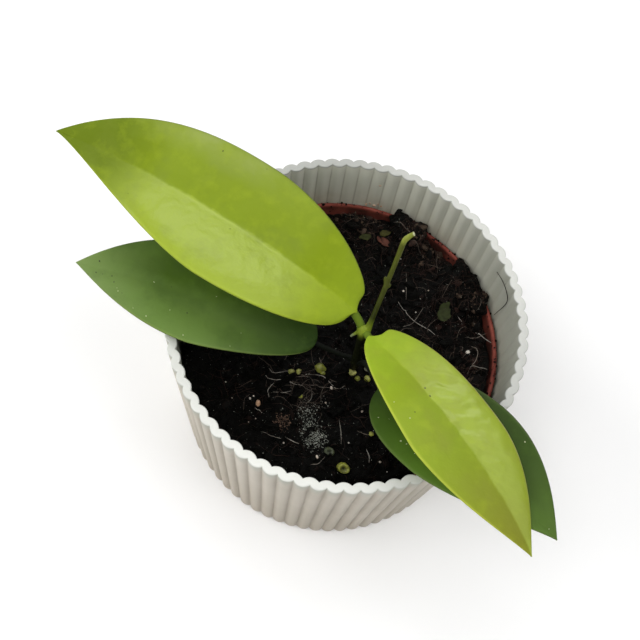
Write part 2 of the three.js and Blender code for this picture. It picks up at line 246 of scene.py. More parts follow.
def node(tree, kind, inputs=None, **settings):
    """Adds a shader node. An input is a value, or the output of another node."""
    made = tree.nodes.new(kind)
    for key, value in settings.items():
        setattr(made, key, value)
    for key, value in (inputs or {}).items():
        if isinstance(value, bpy.types.NodeSocket):
            tree.links.new(value, made.inputs[key])
        else:
            made.inputs[key].default_value = value
    return made


def colour(hex_code):
    """A linear colour from a usual hexadecimal one."""
    parts = [int(hex_code[i:i + 2], 16) / 255 for i in (0, 2, 4)]
    return (*[c / 12.92 if c <= 0.04045 else ((c + 0.055) / 1.055) ** 2.4 for c in parts], 1)


def mixed(tree, amount, first, second):
    """The colour between two colours. Each is another colour's output, or a hexadecimal code."""
    first, second = [colour(side) if isinstance(side, str) else side for side in (first, second)]
    return node(tree, "ShaderNodeMix", {0: amount, 6: first, 7: second}, data_type="RGBA").outputs[2]


def sums(tree, operation, *values):
    """The result of a sum on numbers."""
    return node(tree, "ShaderNodeMath", dict(enumerate(values)), operation=operation).outputs[0]


def product(tree, first, second):
    """One number times another."""
    return sums(tree, "MULTIPLY", first, second)


def ramped(tree, value, low, high, start=0.0, end=1.0):
    """A number moved from one range to another, and kept inside it."""
    inputs = {"Value": value, "From Min": low, "From Max": high, "To Min": start, "To Max": end}
    return node(tree, "ShaderNodeMapRange", inputs).outputs[0]


def stored(tree, name):
    """A number that is stored on the piece's points."""
    return node(tree, "ShaderNodeAttribute", attribute_name=name).outputs["Fac"]


# Grain: soft clouds and a fine tooth, shared by every finish
grain = bpy.data.node_groups.new("grain", "ShaderNodeTree")
for socket, kind in (("Place", "Vector"), ("Cloud Scale", "Float"), ("Tooth Scale", "Float")):
    grain.interface.new_socket(socket, in_out="INPUT", socket_type="NodeSocket" + kind)
for socket in ("Cloud", "Tooth"):
    grain.interface.new_socket(socket, in_out="OUTPUT", socket_type="NodeSocketFloat")
taken = grain.nodes.new("NodeGroupInput").outputs
given = grain.nodes.new("NodeGroupOutput").inputs
cloud = node(grain, "ShaderNodeTexNoise", {
    "Vector": taken["Place"], "Scale": taken["Cloud Scale"], "Detail": 4.0, "Roughness": 0.6,
})
tooth = node(grain, "ShaderNodeTexNoise", {
    "Vector": taken["Place"], "Scale": taken["Tooth Scale"], "Detail": 2.0, "Roughness": 0.5,
})
grain.links.new(ramped(grain, cloud.outputs["Fac"], 0.3, 0.7), given["Cloud"])
grain.links.new(tooth.outputs["Fac"], given["Tooth"])


def grained(tree, place, cloud_scale, tooth_scale):
    """The grain's clouds and its tooth at the given scales."""
    inputs = {"Place": place, "Cloud Scale": cloud_scale, "Tooth Scale": tooth_scale}
    made = node(tree, "ShaderNodeGroup", inputs, node_tree=grain)
    return made.outputs["Cloud"], made.outputs["Tooth"]


def new_material(name, cloud_scale, tooth_scale):
    """A material with its tree, its Principled shader, the place on the object, and its grain."""
    material = bpy.data.materials.new(name)
    material.use_nodes = True
    tree = material.node_tree
    shader = tree.nodes["Principled BSDF"]
    place = node(tree, "ShaderNodeTexCoord").outputs["Object"]
    return material, tree, shader, place, *grained(tree, place, cloud_scale, tooth_scale)


def finish(tree, shader, base, rough, height, depth, shine=0.5):
    """Gives a shader its base colour, its roughness and gloss, and a relief of a depth in metres."""
    bump = node(tree, "ShaderNodeBump", {"Height": height, "Distance": depth})
    tree.links.new(base, shader.inputs["Base Color"])
    tree.links.new(rough, shader.inputs["Roughness"])
    tree.links.new(bump.outputs["Normal"], shader.inputs["Normal"])
    shader.inputs["Specular IOR Level"].default_value = shine


def above_table(tree, place):
    """The height of a place on the object, in metres."""
    return node(tree, "ShaderNodeSeparateXYZ", {0: place}).outputs["Z"]


pot_white, tree, shader, place, cloud, tooth = new_material("pot_white", 45, 900)
height_up = above_table(tree, place)
inner = mixed(tree, cloud, "b9baae", "b1b2a4")
# The inner wall is painted lighter toward the lit side, as painted light; the soil stain below is stronger on
# that side too
inner = mixed(tree, stored(tree, "grime"), inner, "e6e6d6")
soiled = product(tree, ramped(tree, height_up, 0.067, 0.052), cloud)
soiled = product(tree, soiled, ramped(tree, stored(tree, "grime"), 0, 1, 0.2, 0.75))
inner = mixed(tree, soiled, inner, "9c8a6c")
# The outer wall is painted darker and warmer toward its foot: painted shade and warm reflected light
outer = mixed(tree, ramped(tree, height_up, 0.072, 0.0), "c8c0b1", "b0a491")
outer = mixed(tree, product(tree, cloud, 0.5), outer, "b9b3a5")
clean = mixed(tree, stored(tree, "outside"), inner, outer)
# The rim's top is painted dimmer or brighter round the pot: painted light and shade
rim = mixed(tree, stored(tree, "sunlit"), "a3a49f", "d8d9d3")
clean = mixed(tree, ramped(tree, height_up, 0.0741, 0.0748), clean, rim)
# The grooves are darkened, partly dirt and partly painted shade
grooved = product(tree, stored(tree, "groove"), ramped(tree, cloud, 0, 1, 0.35, 0.6))
base = mixed(tree, grooved, clean, "7d705a")
finish(tree, shader, base, ramped(tree, cloud, 0, 1, 0.45, 0.6), tooth, 0.00003, 0.4)
settle(cover_pot, pot_white, "cover_pot", "cover_pot")

# Nursery pot
# The thin red-brown growing pot of soft plastic, with a collar under a rounded lip and holes
# in its floor. It stands loose on the cover pot's floor and holds the soil.
SEAT_GAP = 0.3
NURSERY_TOP = 55
NURSERY_RADIUS = 50.95
NURSERY_COLLAR = 9
NURSERY_SHOULDER = 47.4
NURSERY_BASE_RADIUS = 38
NURSERY_WALL = 1.1
NURSERY_FOOT = 1.5
NURSERY_SIDES = 192
NURSERY_SECTION = [
    (NURSERY_BASE_RADIUS, POT_FLOOR + SEAT_GAP),
    (NURSERY_SHOULDER, NURSERY_TOP - NURSERY_COLLAR),
    (NURSERY_RADIUS - 0.7, NURSERY_TOP - 8.2),
    (NURSERY_RADIUS - 0.25, NURSERY_TOP - 5),
    (NURSERY_RADIUS, NURSERY_TOP - 1.3),
    (NURSERY_RADIUS - 0.1, NURSERY_TOP - 0.7),
    (NURSERY_RADIUS - 0.35, NURSERY_TOP - 0.25),
    (NURSERY_RADIUS - 0.75, NURSERY_TOP),
    (NURSERY_RADIUS - 1.15, NURSERY_TOP - 0.1),
    (NURSERY_RADIUS - 1.45, NURSERY_TOP - 0.4),
    (NURSERY_RADIUS - 1.6, NURSERY_TOP - 1),
    (NURSERY_RADIUS - 1.9, NURSERY_TOP - 3),
    (NURSERY_SHOULDER - NURSERY_WALL, NURSERY_TOP - NURSERY_COLLAR - 0.5),
    (NURSERY_BASE_RADIUS - NURSERY_WALL, POT_FLOOR + SEAT_GAP + NURSERY_FOOT),
]
NURSERY_LIMP_ABOVE = 40
NURSERY_SLACK = 0.2
# How the limp rim sways: how far, in how many waves, and their shift
NURSERY_SWAYS = [(0.08, 3, 0.6), (0.05, 7, 2)]
NURSERY_SWAY_UP = 2.2
DRAIN_RING = 26
DRAIN_RADIUS = 3.5
DRAIN_SIDES = 32
DRAINS = 6
DRILL_TOP = POT_FLOOR + 3 * NURSERY_FOOT

turn = 2 * math.pi * np.arange(NURSERY_SIDES) / NURSERY_SIDES
nursery_rings = []
for radius, height in NURSERY_SECTION:
    limp = height > NURSERY_LIMP_ABOVE
    sway = limp * sum(rise * np.sin(waves * turn + shift) for rise, waves, shift in NURSERY_SWAYS)
    nursery_rings.append(circle(radius + sway - NURSERY_SLACK * limp, turn, height + NURSERY_SWAY_UP * sway))
nursery_floor = (0, 0, POT_FLOOR + SEAT_GAP)
nursery_inside = (0, 0, POT_FLOOR + SEAT_GAP + NURSERY_FOOT)
nursery_pot = build_piece("nursery_pot_lipped", *closed_rings(nursery_rings, nursery_floor, nursery_inside))

drills = []
around = 2 * math.pi * np.arange(DRAIN_SIDES) / DRAIN_SIDES
for turn in 2 * math.pi * np.arange(DRAINS) / DRAINS:
    centre = circle(DRAIN_RING, turn, 0)
    ends = [centre + circle(DRAIN_RADIUS, around, height) for height in (0, DRILL_TOP)]
    drills.append(closed_rings(ends, centre, centre + (0, 0, DRILL_TOP)))
drill = build_piece("drain_drill", *joined(drills))
cut = nursery_pot.modifiers.new("drains", "BOOLEAN")
cut.operation = "DIFFERENCE"
cut.object = drill
cut.solver = "EXACT"


def made_solid(piece):
    """Turns a piece's modifiers into its mesh."""
    seen = piece.evaluated_get(bpy.context.evaluated_depsgraph_get())
    mesh = bpy.data.meshes.new_from_object(seen)
    piece.modifiers.clear()
    piece.data = mesh


made_solid(nursery_pot)
bpy.data.objects.remove(drill)

nursery_brown, tree, shader, place, cloud, tooth = new_material("nursery_brown", 120, 1500)
# Below the lip's top the pot is darkened toward soil-brown, partly soil crust and partly painted shade, so
# the top stays lighter as a painted highlight
low_down = ramped(tree, above_table(tree, place), 0.0549, 0.0537)
crust_and_shade = product(tree, low_down, ramped(tree, cloud, 0.1, 0.7, 0.5, 0.95))
base = mixed(tree, crust_and_shade, mixed(tree, cloud, "8c463a", "682e26"), "2c1812")
finish(tree, shader, base, ramped(tree, cloud, 0, 1, 0.5, 0.75), tooth, 0.0001, 0.25)
settle(nursery_pot, nursery_brown, "nursery_pot", "nursery_pot")

# Potting soil
# Dark moist peat with bark and coconut fibre, filling the nursery pot to just under its lip. It
# is loose, and has spilled over the lip against the cover pot in three places.
SOIL_LEVEL = 52.6
SOIL_FOOT = POT_FLOOR + SEAT_GAP + NURSERY_FOOT + SEAT_GAP
SOIL_WALL = [(46.93, 50), (45.85, 44.9), (36.45, SOIL_FOOT)]
SOIL_RADIUS = 48.1
SOIL_CELLS = 240
SOIL_WAVES = 7
SOIL_WAVE_LENGTH = 37
SOIL_WAVE_HEIGHT = 1.1
SOIL_WAVE_TURN = 2.4
SOIL_WAVE_SHIFT = 1.7
# Heaps and hollows: x, y, height and spread
SOIL_HEAPS = [
    (36, 29, 3.4, 9),
    (13, 42, 3, 7),
    (3, -34, 1.4, 6),
    (-34, -26, 1.6, 10),
    (-24, 34, -1.2, 10),
    (17, 8, -2.6, 9),
    (-12, -4, -1.6, 10),
]
SOIL_RELIEF = [(4.6, 0.75), (2.1, 0.6), (1.0, 0.35)]
SOIL_EDGE = 46
SOIL_EDGE_WIDTH = 2
SOIL_EDGE_DROP = 1.6
PILE_SIDE = -6
PILE_SPREAD = 30
PILE_RING = 48
PILE_WIDTH = 3
PILE_HEIGHT = 2
# Where soil has spilled over the lip: from and to in degrees, and how high its clods lie
SPILLS = [(72, 78, 0.3), (34, 46, 0.1), (190, 278, -0.9)]
SPILL_MARGIN = 6
CLOD_STEP = 6
CLOD_RING = 46.2
CLOD_RADIUS = 5
CLOD_FLATNESS = 0.62
CLOD_ROOM = 51
CLOD_RELIEF = [(3.1, 0.9), (1.5, 0.7), (0.75, 0.4)]
STEM_FOOT = (6.4, -7.2)
STEM_ROOM = 2.6
OPEN_RADIUS = 47
SPILL_RADIUS = 50.6
DROP_HEIGHT = 90
CRUMB_SHAPES = 14


def lumps(points, size, seed):
    """A smooth random value from -1 to 1 at each point, in lumps of the given size."""
    table = np.random.RandomState(seed).uniform(-1, 1, (32, 32, 32))
    scaled = np.asarray(points) / size
    cell = np.floor(scaled).astype(int)
    part = scaled - cell
    part = part * part * (3 - 2 * part)
    total = 0
    for corner in np.ndindex(2, 2, 2):
        share = np.prod(np.where(np.array(corner) == 1, part, 1 - part), axis=-1)
        at = (cell + corner) % 32
        total = total + share * table[at[..., 0], at[..., 1], at[..., 2]]
    return total


def soil_height(x, y):
    """The height of the soil in its broad waves, heaps and hollows."""
    height = np.full(np.shape(x), float(SOIL_LEVEL))
    for k in range(1, SOIL_WAVES + 1):
        across = x * math.cos(k * SOIL_WAVE_TURN) + y * math.sin(k * SOIL_WAVE_TURN)
        phase = 2 * math.pi * k * across / SOIL_WAVE_LENGTH + k * SOIL_WAVE_SHIFT
        height += SOIL_WAVE_HEIGHT / k * np.sin(phase)
    for hx, hy, rise, spread in SOIL_HEAPS:
        height += rise * np.exp(-((x - hx) ** 2 + (y - hy) ** 2) / (2 * spread * spread))
    return height


def soil_top(x, y):
    """The height of the soil with its loose relief, lower at the pot's wall but piled up on the right."""
    level = soil_height(x, y)
    place = np.stack([x, y, np.zeros_like(x)], -1)
    for seed, (size, rise) in enumerate(SOIL_RELIEF):
        level = level + rise * lumps(place, size, seed + 5)
    out = np.hypot(x, y)
    edge = np.clip((out - SOIL_EDGE) / SOIL_EDGE_WIDTH, 0, 1)
    on_right = np.exp(-((np.degrees(np.arctan2(y, x)) - PILE_SIDE) / PILE_SPREAD) ** 2)
    piled = on_right * np.exp(-((out - PILE_RING) / PILE_WIDTH) ** 2)
    return level - SOIL_EDGE_DROP * edge * edge * (1 - on_right) + PILE_HEIGHT * piled


def square_cells(cells):
    """A square from -1 to 1 in rows of points: where they lie, the cells' faces, and the border in order."""
    side = np.linspace(-1, 1, cells + 1)
    u, v = np.meshgrid(side, side, indexing="ij")
    row = cells + 1
    corners = [i * row + j for i in range(cells) for j in range(cells)]
    faces = [(a, a + row, a + row + 1, a + 1) for a in corners]
    border = [i * row for i in range(cells)] + [cells * row + j for j in range(cells)]
    border += [i * row + cells for i in range(cells, 0, -1)] + list(range(cells, 0, -1))
    return u, v, faces, border


def band_faces(upper, lower):
    """Quads between two closed rows of points."""
    count = len(upper)
    return [(upper[i], lower[i], lower[(i + 1) % count], upper[(i + 1) % count]) for i in range(count)]


u, v, bed_faces, edge = square_cells(SOIL_CELLS)
x = SOIL_RADIUS * u * np.sqrt(1 - v * v / 2)
y = SOIL_RADIUS * v * np.sqrt(1 - u * u / 2)
bed_points = [np.stack([x, y, soil_top(x, y)], -1).reshape(-1, 3)]
turn = np.arctan2(y.ravel()[edge], x.ravel()[edge])
total = u.size
for radius, height in SOIL_WALL:
    bed_points.append(circle(radius, turn, height))
    below = list(range(total, total + len(turn)))
    bed_faces += band_faces(edge, below)
    edge = below
    total += len(turn)
bed_points.append([(0, 0, SOIL_FOOT)])
bed_faces += [(edge[(i + 1) % len(turn)], edge[i], total) for i in range(len(turn))]
soil_bed = build_piece("soil_bed", np.concatenate(bed_points), bed_faces)


def rounded_stone(finer):
    """Points and faces of an evenly divided ball of radius 1."""
    golden = (1 + math.sqrt(5)) / 2
    points = [Vector(p).normalized() for p in (
        (-1, golden, 0), (1, golden, 0), (-1, -golden, 0), (1, -golden, 0), (0, -1, golden), (0, 1, golden),
        (0, -1, -golden), (0, 1, -golden), (golden, 0, -1), (golden, 0, 1), (-golden, 0, -1), (-golden, 0, 1),
    )]
    faces = [
        (0, 11, 5), (0, 5, 1), (0, 1, 7), (0, 7, 10), (0, 10, 11), (1, 5, 9), (5, 11, 4), (11, 10, 2),
        (10, 7, 6), (7, 1, 8), (3, 9, 4), (3, 4, 2), (3, 2, 6), (3, 6, 8), (3, 8, 9), (4, 9, 5), (2, 4, 11),
        (6, 2, 10), (8, 6, 7), (9, 8, 1),
    ]
    for _ in range(finer):
        halves = {}
        finer_faces = []
        for face in faces:
            middles = []
            for a, b in zip(face, face[1:] + face[:1]):
                key = (min(a, b), max(a, b))
                if key not in halves:
                    halves[key] = len(points)
                    points.append(((points[a] + points[b]) / 2).normalized())
                middles.append(halves[key])
            a, b, c = face
            ab, bc, ca = middles
            finer_faces += [(a, ab, ca), (b, bc, ab), (c, ca, bc), (ab, bc, ca)]
        faces = finer_faces
    return np.array([tuple(p) for p in points]), faces


fine_ball, coarse_ball = rounded_stone(4), rounded_stone(3)
clods = []
for start, end, lift in SPILLS:
    for degrees in range(start, end + 1, CLOD_STEP):
        number = len(clods)
        ball, faces = fine_ball if lift > 0 else coarse_ball
        shape = ball * (CLOD_RADIUS + 0.5 * math.sin(number * 3.1))
        swell = 1 + 0.12 * np.sin(shape[:, 0] * 0.9 + number * 2.1)
        swell = swell + 0.12 * np.sin(shape[:, 1] * 1.1 - number * 1.3) * np.cos(shape[:, 2])
        for seed, (size, rise) in enumerate(CLOD_RELIEF):
            swell = swell + rise / CLOD_RADIUS * lumps(shape, size, seed + 20 + number)
        ring = CLOD_RING + 0.7 * math.sin(number * 2.3)
        height = NURSERY_TOP + lift + 0.4 * math.sin(number * 1.7)
        shape = shape * swell[:, None] * (1, 1, CLOD_FLATNESS) + circle(ring, math.radians(degrees), height)
        out = np.hypot(shape[:, 0], shape[:, 1])
        shape[:, :2] *= np.minimum(1, CLOD_ROOM / out)[:, None]
        over_lip = out > SOIL_RADIUS
        shape[over_lip, 2] = np.maximum(shape[over_lip, 2], NURSERY_TOP + 0.1)
        clods.append((shape, faces))
soil_clods = build_piece("soil_clods", *joined(clods))


def sight_tree(*pieces):
    """What a line of sight can meet: the given pieces as one."""
    meshes = [piece.data for piece in pieces]
    points, faces = joined(
        ([vertex.co / MM for vertex in mesh.vertices], [polygon.vertices for polygon in mesh.polygons])
        for mesh in meshes
    )
    return BVHTree.FromPolygons(points.tolist(), faces)


def seen_at(tree, across, down):
    """Where the camera sees a surface at a pixel of the picture, in millimetres."""
    return tree.ray_cast(CAMERA_PLACE, line_of_sight(across, down))[0]


def soil_below(tree, x, y):
    """The top of the soil under a place."""
    return tree.ray_cast(Vector((x, y, DROP_HEIGHT)), Vector((0, 0, -1)))[0]


soil_ground = sight_tree(soil_bed, soil_clods)


def spun(rng):
    """A random turn, as a matrix."""
    q = rng.normal(size=4)
    w, a, b, c = q / np.linalg.norm(q)
    return np.array([
        [1 - 2 * (b * b + c * c), 2 * (a * b - c * w), 2 * (a * c + b * w)],
        [2 * (a * b + c * w), 1 - 2 * (a * a + c * c), 2 * (b * c - a * w)],
        [2 * (a * c - b * w), 2 * (b * c + a * w), 1 - 2 * (a * a + b * b)],
    ])


def soil_spot(rng):
    """A random place on the soil, clear of the stem. Beyond the nursery pot it lies on a spill."""
    while True:
        turn = rng.uniform(0, 2 * math.pi)
        out = math.sqrt(rng.uniform(0, SPILL_RADIUS * SPILL_RADIUS))
        x, y = out * math.cos(turn), out * math.sin(turn)
        degrees = math.degrees(turn)
        spilled = any(start - SPILL_MARGIN < degrees < end + SPILL_MARGIN for start, end, _ in SPILLS)
        if (out < OPEN_RADIUS or spilled) and math.hypot(x - STEM_FOOT[0], y - STEM_FOOT[1]) > STEM_ROOM:
            place = soil_below(soil_ground, x, y)
            if place is not None:
                return place


def brownness(x, y):
    """How much fibre the soil shows: in patches, most at the back and on the right."""
    patch = 0.5 + 0.5 * lumps((x, y, 0), 6.5, 4)
    return (0.3 + 2.2 * patch * patch) / (1 + math.exp(-(0.7 * x + 0.75 * y - 12) / 7))


def heaped(name, shapes, tones, faces, flat=True):
    """One piece of many loose shapes that have the same faces, each with its tone."""
    size = len(shapes[0])
    faces = (np.array(faces)[None] + np.arange(len(shapes))[:, None, None] * size).reshape(-1, 3).tolist()
    piece = build_piece(name, np.concatenate(shapes), faces, flat)
    with_values(piece, tone=np.repeat(tones, size))
    return piece


def crumbs(name, amount, finer, low, high, seed, flat=0.75, dull=1.0):
    """Loose crumbs of soil, each an uneven stone of its own size, spin and tone."""
    rng = np.random.RandomState(seed)
    ball, faces = rounded_stone(finer)
    stones = []
    for k in range(CRUMB_SHAPES):
        rough = 1 + 0.42 * lumps(ball, 0.8, seed + k) + 0.2 * lumps(ball, 0.35, seed + 50 + k)
        stones.append(ball * rough[:, None])
    shapes = []
    tones = []
    for _ in range(amount):
        place = soil_spot(rng)
        size = low + (high - low) * rng.uniform() ** 2.2
        stretch = np.array([1, rng.uniform(0.4, 0.9), rng.uniform(0.3, flat)]) * size
        shape = (stones[rng.randint(len(stones))] * stretch) @ spun(rng).T
        shapes.append(shape + np.array(place) + (0, 0, size * rng.uniform(0, 0.45)))
        by_wall = brownness(place.x, place.y) / (1 + math.exp((36 - math.hypot(place.x, place.y)) / 2.5))
        tones.append(dull * np.clip(0.7 * rng.beta(1.2, 4) + 0.6 * by_wall * rng.uniform(0.3, 1), 0, 1))
    return heaped(name, shapes, tones, faces)


soil_crumbs = crumbs("soil_crumbs", 1300, 1, 0.5, 1.7, 11)
soil_grit = crumbs("soil_grit", 6000, 0, 0.18, 0.6, 12)
soil_chips = crumbs("soil_chips", 110, 2, 1.3, 3.2, 13, 0.5, 0.42)


def banded(tree, value, *bands):
    """A colour that follows a number through bands, each a position and a hexadecimal code."""
    made = node(tree, "ShaderNodeValToRGB", {"Fac": value})
    stops = made.color_ramp.elements
    for stop, (position, hue) in zip(stops, (bands[0], bands[-1])):
        stop.position = position
        stop.color = colour(hue)
    for position, hue in bands[1:-1]:
        stops.new(position).color = colour(hue)
    return made.outputs["Color"]


soil_dark, tree, shader, place, cloud, tooth = new_material("soil_dark", 260, 2200)
stain = sums(tree, "ADD", stored(tree, "tone"), product(tree, cloud, 0.22))
base = banded(
    tree, stain, (0.12, "020201"), (0.4, "080706"), (0.6, "150e0b"), (0.8, "2a1c18"), (1, "463a30"),
)
finish(tree, shader, base, ramped(tree, cloud, 0, 1, 0.55, 0.9), tooth, 0.0003, 0.13)
for piece in (soil_bed, soil_clods):
    with_values(piece, tone=np.full(len(piece.data.vertices), 0.1))
settle(soil_bed, soil_dark, "soil", "potting_soil")
for piece in (soil_clods, soil_crumbs, soil_grit, soil_chips):
    settle(piece, soil_dark, "soil")

# Fibres and fine roots
# Brown coconut fibres from the potting mix and pale fine roots of the plant, lying loose on the
# soil and in tangles on its back and right side.
FIBRES = 850
FIBRE_STEPS = 6
STRAY_ROOTS = 110
NEST_ROOTS = 90
ROOT_NEST = (306, 386)
NEST_SPREAD = (7, 4.5)
ROOT_LIFT = 0.16
# The roots that the picture shows, in its pixels
ROOT_LINES = [
    [(266, 378), (276, 380), (285, 380), (294, 384), (303, 386)],
    [(269, 371), (276, 373), (288, 371)],
    [(274, 383), (268, 390), (269, 397)],
    [(271, 393), (282, 393), (291, 391)],
    [(309, 385), (319, 387), (331, 388), (339, 389), (345, 386)],
    [(305, 375), (316, 375), (324, 377), (332, 385), (336, 389)],
    [(312, 391), (311, 399), (306, 404)],
    [(255, 408), (262, 413)],
    [(261, 432), (271, 436), (282, 439)],
    [(285, 437), (294, 442), (299, 444)],
    [(325, 457), (318, 464), (309, 465)],
    [(319, 358), (322, 364)],
    [(339, 419), (341, 436), (341, 444)],
    [(357, 431), (364, 434), (373, 436)],
    [(366, 449), (369, 456), (369, 463)],
    [(406, 273), (406, 287), (406, 300)],
    [(398, 302), (405, 312), (415, 322), (427, 329), (435, 335)],
    [(403, 327), (413, 323), (420, 313), (423, 308)],
    [(475, 333), (491, 343)],
    [(465, 338), (477, 338), (487, 333)],
    [(467, 345), (477, 350), (476, 360), (470, 368), (467, 375)],
    [(470, 367), (480, 368), (488, 375)],
    [(457, 315), (463, 327)],
]


def curve_through(points, steps):
    """A smooth line through points, whatever each of them holds."""
    points = np.asarray(points, float)
    padded = np.concatenate([2 * points[:1] - points[1:2], points, 2 * points[-1:] - points[-2:-1]])
    line = []
    for k in range(len(points) - 1):
        a, b, c, d = padded[k:k + 4]
        square = 2 * a - 5 * b + 4 * c - d
        cube = 3 * b - a - 3 * c + d
        for t in np.arange(steps) / steps:
            line.append(0.5 * (2 * b + (c - a) * t + square * t ** 2 + cube * t ** 3))
    return np.array([*line, points[-1]])


def strand(line, radii, sides):
    """Points and faces of a closed round strand along a line."""
    line = np.asarray(line, float)
    along = np.gradient(line, axis=0)
    along /= np.linalg.norm(along, axis=1)[:, None] + 1e-12
    side = np.cross(along[0], (0.31, 0.22, 0.92))
    turn = 2 * math.pi * np.arange(sides) / sides
    rings = []
    for place, ahead, radius in zip(line, along, radii):
        side = side - ahead * side.dot(ahead)
        side /= np.linalg.norm(side)
        other = np.cross(ahead, side)
        rings.append(place + radius * (np.cos(turn)[:, None] * side + np.sin(turn)[:, None] * other))
    return closed_rings(rings, line[0], line[-1])


def strands(name, lines, radii, tones, sides):
    """One piece of many thin strands that taper to their ends, each with its tone."""
    made = []
    for line, radius in zip(lines, radii):
        taper = 0.45 + 0.55 * np.sin(math.pi * np.linspace(0.12, 0.88, len(line)))
        made.append(strand(line, radius * taper, sides))
    piece = build_piece(name, *joined(made))
    with_values(piece, tone=np.repeat(tones, [len(points) for points, _ in made]))
    return piece


def lying_line(rng, start, length, bend, lift):
    """A line that lies over the crumbs from a place, turning as it goes, its middle a little raised."""
    heading = rng.uniform(0, 2 * math.pi)
    x, y = start.x, start.y
    line = []
    for k in range(FIBRE_STEPS + 1):
        place = soil_below(soil_surface, x, y)
        if place is None or math.hypot(x, y) > CLOD_ROOM - 0.5:
            break
        line.append((x, y, place.z + 0.1 + lift * math.sin(math.pi * k / FIBRE_STEPS)))
        heading += bend + rng.normal(0, 0.22)
        x += length / FIBRE_STEPS * math.cos(heading)
        y += length / FIBRE_STEPS * math.sin(heading)
    line = np.array(line)
    if len(line) > 2:
        line[1:-1, 2] = np.maximum(line[1:-1, 2], (line[:-2, 2] + line[2:, 2]) / 2)
    return line


soil_surface = sight_tree(soil_bed, soil_clods, soil_crumbs)
into_the_pot = sight_tree(soil_bed, soil_clods, soil_crumbs, nursery_pot, cover_pot)
rng = np.random.RandomState(22)
fibre_lines = []
while len(fibre_lines) < FIBRES:
    start = soil_spot(rng)
    by_wall = min(1, math.hypot(start.x, start.y) / 42) ** 3
    if rng.uniform() < 0.16 + 0.84 * brownness(start.x, start.y) * by_wall:
        line = lying_line(rng, start, rng.uniform(2.5, 8), rng.uniform(-0.3, 0.3), rng.uniform(0, 0.9))
        if len(line) > 3:
            fibre_lines.append(line)
coir_fibres = strands(
    "coir_fibres", fibre_lines, rng.uniform(0.04, 0.12, FIBRES), 0.5 * rng.beta(1.3, 2.8, FIBRES), 4,
)
root_lines = []
for pixels in ROOT_LINES:
    line = curve_through([seen_at(into_the_pot, *pixel) for pixel in pixels], 5)
    for point in line:
        point[2] = max(point[2], soil_below(into_the_pot, point[0], point[1]).z) + ROOT_LIFT
    root_lines.append(line)
named = len(root_lines)
unnamed = STRAY_ROOTS + NEST_ROOTS
while len(root_lines) < named + STRAY_ROOTS:
    start = soil_spot(rng)
    if rng.uniform() < brownness(start.x, start.y) ** 2:
        line = lying_line(rng, start, rng.uniform(3, 9), rng.uniform(-0.3, 0.3), rng.uniform(0.2, 1.4))
        if len(line) > 4:
            root_lines.append(curve_through(line, 2))
nest = seen_at(into_the_pot, *ROOT_NEST)
while len(root_lines) < named + unnamed:
    x, y = rng.normal((nest.x, nest.y), NEST_SPREAD)
    start = soil_below(soil_surface, x, y)
    line = lying_line(rng, start, rng.uniform(3, 9), rng.uniform(-0.25, 0.25), rng.uniform(0.1, 0.8))
    if len(line) > 4:
        root_lines.append(curve_through(line, 2))
root_radii = np.concatenate([rng.uniform(0.065, 0.105, named), rng.uniform(0.03, 0.065, unnamed)])
root_tones = np.concatenate([rng.uniform(0.72, 1, named), rng.uniform(0.3, 0.75, unnamed)])
fine_roots = strands("fine_roots", root_lines, root_radii, root_tones, 6)

fibre_brown, tree, shader, place, cloud, tooth = new_material("fibre_brown", 500, 3000)
shade = sums(tree, "ADD", stored(tree, "tone"), ramped(tree, cloud, 0, 1, -0.08, 0.08))
base = banded(
    tree, shade, (0.05, "170e0a"), (0.3, "251813"), (0.5, "3c2f28"), (0.75, "746a60"), (1, "b4b0a6"),
)
finish(tree, shader, base, ramped(tree, cloud, 0, 1, 0.5, 0.75), tooth, 0.00005, 0.2)
for piece in (coir_fibres, fine_roots):
    settle(piece, fibre_brown, "soil")

# Fertiliser shells
# Spent shells of slow-release fertiliser on the soil: thin wrinkled yellow-green skins about
# 2 to 4 mm across, some of them open, with the hollow inside painted dark as shade.
SHELLS = [
    ((291.5, 372.5), 1.05, 0.15), ((298.7, 371.8), 1.0, 0.2), ((320, 368.6), 1.75, 0.45),
    ((352.9, 372.9), 1.3, 0.1), ((357.5, 378.8), 1.05, 0.5), ((367, 379.3), 1.15, 0.4),
    ((367.4, 369.5), 1.0, 0.85), ((300.7, 396.4), 0.8, 0.3), ((371.4, 434.3), 0.75, 0.25),
    ((322.5, 373), 0.9, 0.55),
]
OPEN_SHELLS = [((342.9, 468.6), 1.95, 0.3), ((329.3, 451.7), 1.7, 1.0)]
SHELL_MOUTH = 0.7

ball, faces = rounded_stone(3)
shapes = []
hollows = []
for number, (pixel, radius, _) in enumerate(SHELLS + OPEN_SHELLS):
    place = seen_at(into_the_pot, *pixel)
    tilt = Vector((0.25 * math.sin(number * 2.0), 0.2 * math.cos(number), 0))
    mouth = np.array((CAMERA_PLACE - place).normalized() + tilt)
    mouth /= np.linalg.norm(mouth)
    wrinkle = 1 + 0.22 * lumps(ball, 0.9, 70 + number) + 0.1 * lumps(ball, 0.4, 90 + number)
    inside = np.zeros(len(ball))
    if number >= len(SHELLS):
        facing = ball @ mouth
        inside = np.clip((facing - SHELL_MOUTH) / 0.16, 0, 1)
        lip = 0.12 * np.clip(1 - np.abs(facing - SHELL_MOUTH) / 0.2, 0, 1)
        wrinkle = (wrinkle + lip) * (1 - 0.85 * inside)
    shape = ball * wrinkle[:, None] * radius * (1, 0.85, 0.8)
    shapes.append(shape + np.array(place) + (0, 0, 0.25 * radius))
    hollows.append(inside)
tones = [tone for _, _, tone in SHELLS + OPEN_SHELLS]
prill_shells = heaped("prill_shells", shapes, tones, faces, flat=False)
with_values(prill_shells, hollow=np.concatenate(hollows))

